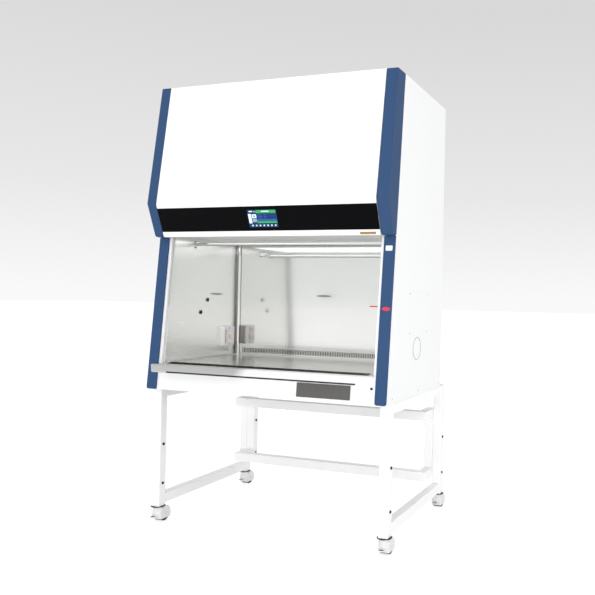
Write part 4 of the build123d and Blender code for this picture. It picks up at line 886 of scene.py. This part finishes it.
# lamps: place, what they aim at, size in metres, power in watts, and whether polish mirrors them
skyStrength = 1.0
lamps = {
    "keyLight": {"place": (-2.2, -4.2, 3.4), "aim": (0, 0, 1.2), "size": (3.0, 2.4), "power": 6,
                 "mirrored": True},
    "fillLight": {"place": (4.4, -1.2, 2.6), "aim": (0.2, 0, 1.2), "size": (2.4, 2.4), "power": 12,
                  "mirrored": True},
    "lowLight": {"place": (1.8, -5.0, 0.6), "aim": (-0.2, 0, 0.5), "size": (3.4, 1.0), "power": 100,
                 "mirrored": False},
    "chamberLight": {"place": (0, -0.02, 1.495), "aim": (0, -0.02, 0.5), "size": (1.1, 0.42), "power": 2.0,
                     "mirrored": True},
}


def makeLamps():
    for name, values in lamps.items():
        data = bpy.data.lights.new(name, "AREA")
        data.shape, data.energy = "RECTANGLE", values["power"]
        data.size, data.size_y = values["size"]
        lamp = bpy.data.objects.new(name, data)
        lamp.location = values["place"]
        away = Vector(values["aim"]) - Vector(values["place"])
        lamp.rotation_euler = away.to_track_quat("-Z", "Y").to_euler()
        lamp.visible_camera = lamp.visible_transmission = False
        lamp.visible_glossy = values["mirrored"]
        bpy.context.scene.collection.objects.link(lamp)


makeLamps()

# backdrop greys from the horizon up, and the floor under it
backdrop = {"horizon": 0.95, "middle": 0.81, "above": 0.69, "middleShare": 0.38, "topHeight": 0.38,
            "floorShare": 0.62, "floorGlow": 1.3, "floorColour": (0.86, 0.86, 0.86, 1), "floorRough": 0.9,
            "floorSize": 60}


def anyRay(tree, *names):
    path = addNode(tree, "ShaderNodeLightPath").outputs
    total = path[names[0]]
    for name in names[1:]:
        total = maths(tree, "MAXIMUM", total, path[name])
    return total


def makeWorld():
    world = bpy.data.worlds.new("studio")
    bpy.context.scene.world = world
    world.use_nodes = True
    tree = world.node_tree
    tree.nodes.clear()
    place = addNode(tree, "ShaderNodeTexCoord").outputs["Generated"]
    height = addNode(tree, "ShaderNodeSeparateXYZ", [(0, place)]).outputs["Z"]
    share = addNode(tree, "ShaderNodeMapRange", [("Value", height), ("From Min", 0),
                    ("From Max", backdrop["topHeight"])])
    ramp = addNode(tree, "ShaderNodeValToRGB", [(0, share.outputs[0])])
    stops = ramp.color_ramp.elements
    stops.new(backdrop["middleShare"])
    for stop, grey in zip(stops, (backdrop["horizon"], backdrop["middle"], backdrop["above"])):
        stop.color = (grey, grey, grey, 1)
    seen = addNode(tree, "ShaderNodeBackground", [("Color", ramp.outputs["Color"]), ("Strength", 1.0)])
    lit = addNode(tree, "ShaderNodeBackground", [("Color", (1, 1, 1, 1)), ("Strength", skyStrength)])
    mix = addNode(tree, "ShaderNodeMixShader", [(0, anyRay(tree, "Is Camera Ray", "Is Transmission Ray")),
                  (1, lit.outputs[0]), (2, seen.outputs[0])])
    addNode(tree, "ShaderNodeOutputWorld", [("Surface", mix.outputs[0])])


makeWorld()


def makeFloor():
    mesh = bpy.data.meshes.new("floor")
    form = bmesh.new()
    bmesh.ops.create_grid(form, x_segments=2, y_segments=2, size=backdrop["floorSize"])
    form.to_mesh(mesh)
    form.free()
    ground = bpy.data.objects.new("floor", mesh)
    bpy.context.scene.collection.objects.link(ground)
    material, tree, surface = startMaterial("floorPaper")
    surface.inputs["Base Color"].default_value = backdrop["floorColour"]
    surface.inputs["Roughness"].default_value = backdrop["floorRough"]
    surface.inputs["Specular IOR Level"].default_value = 0.0
    glow = addNode(tree, "ShaderNodeEmission", [("Color", (1, 1, 1, 1)), ("Strength", backdrop["floorGlow"])])
    share = maths(tree, "MULTIPLY", anyRay(tree, "Is Camera Ray", "Is Transmission Ray", "Is Glossy Ray"),
                  backdrop["floorShare"])
    mix = addNode(tree, "ShaderNodeMixShader", [(0, share), (1, surface.outputs[0]), (2, glow.outputs[0])])
    tree.links.new(mix.outputs[0], tree.nodes["Material Output"].inputs["Surface"])
    mesh.materials.append(material)


makeFloor()
bpy.context.scene.view_settings.view_transform = "Standard"
print("studio lit")
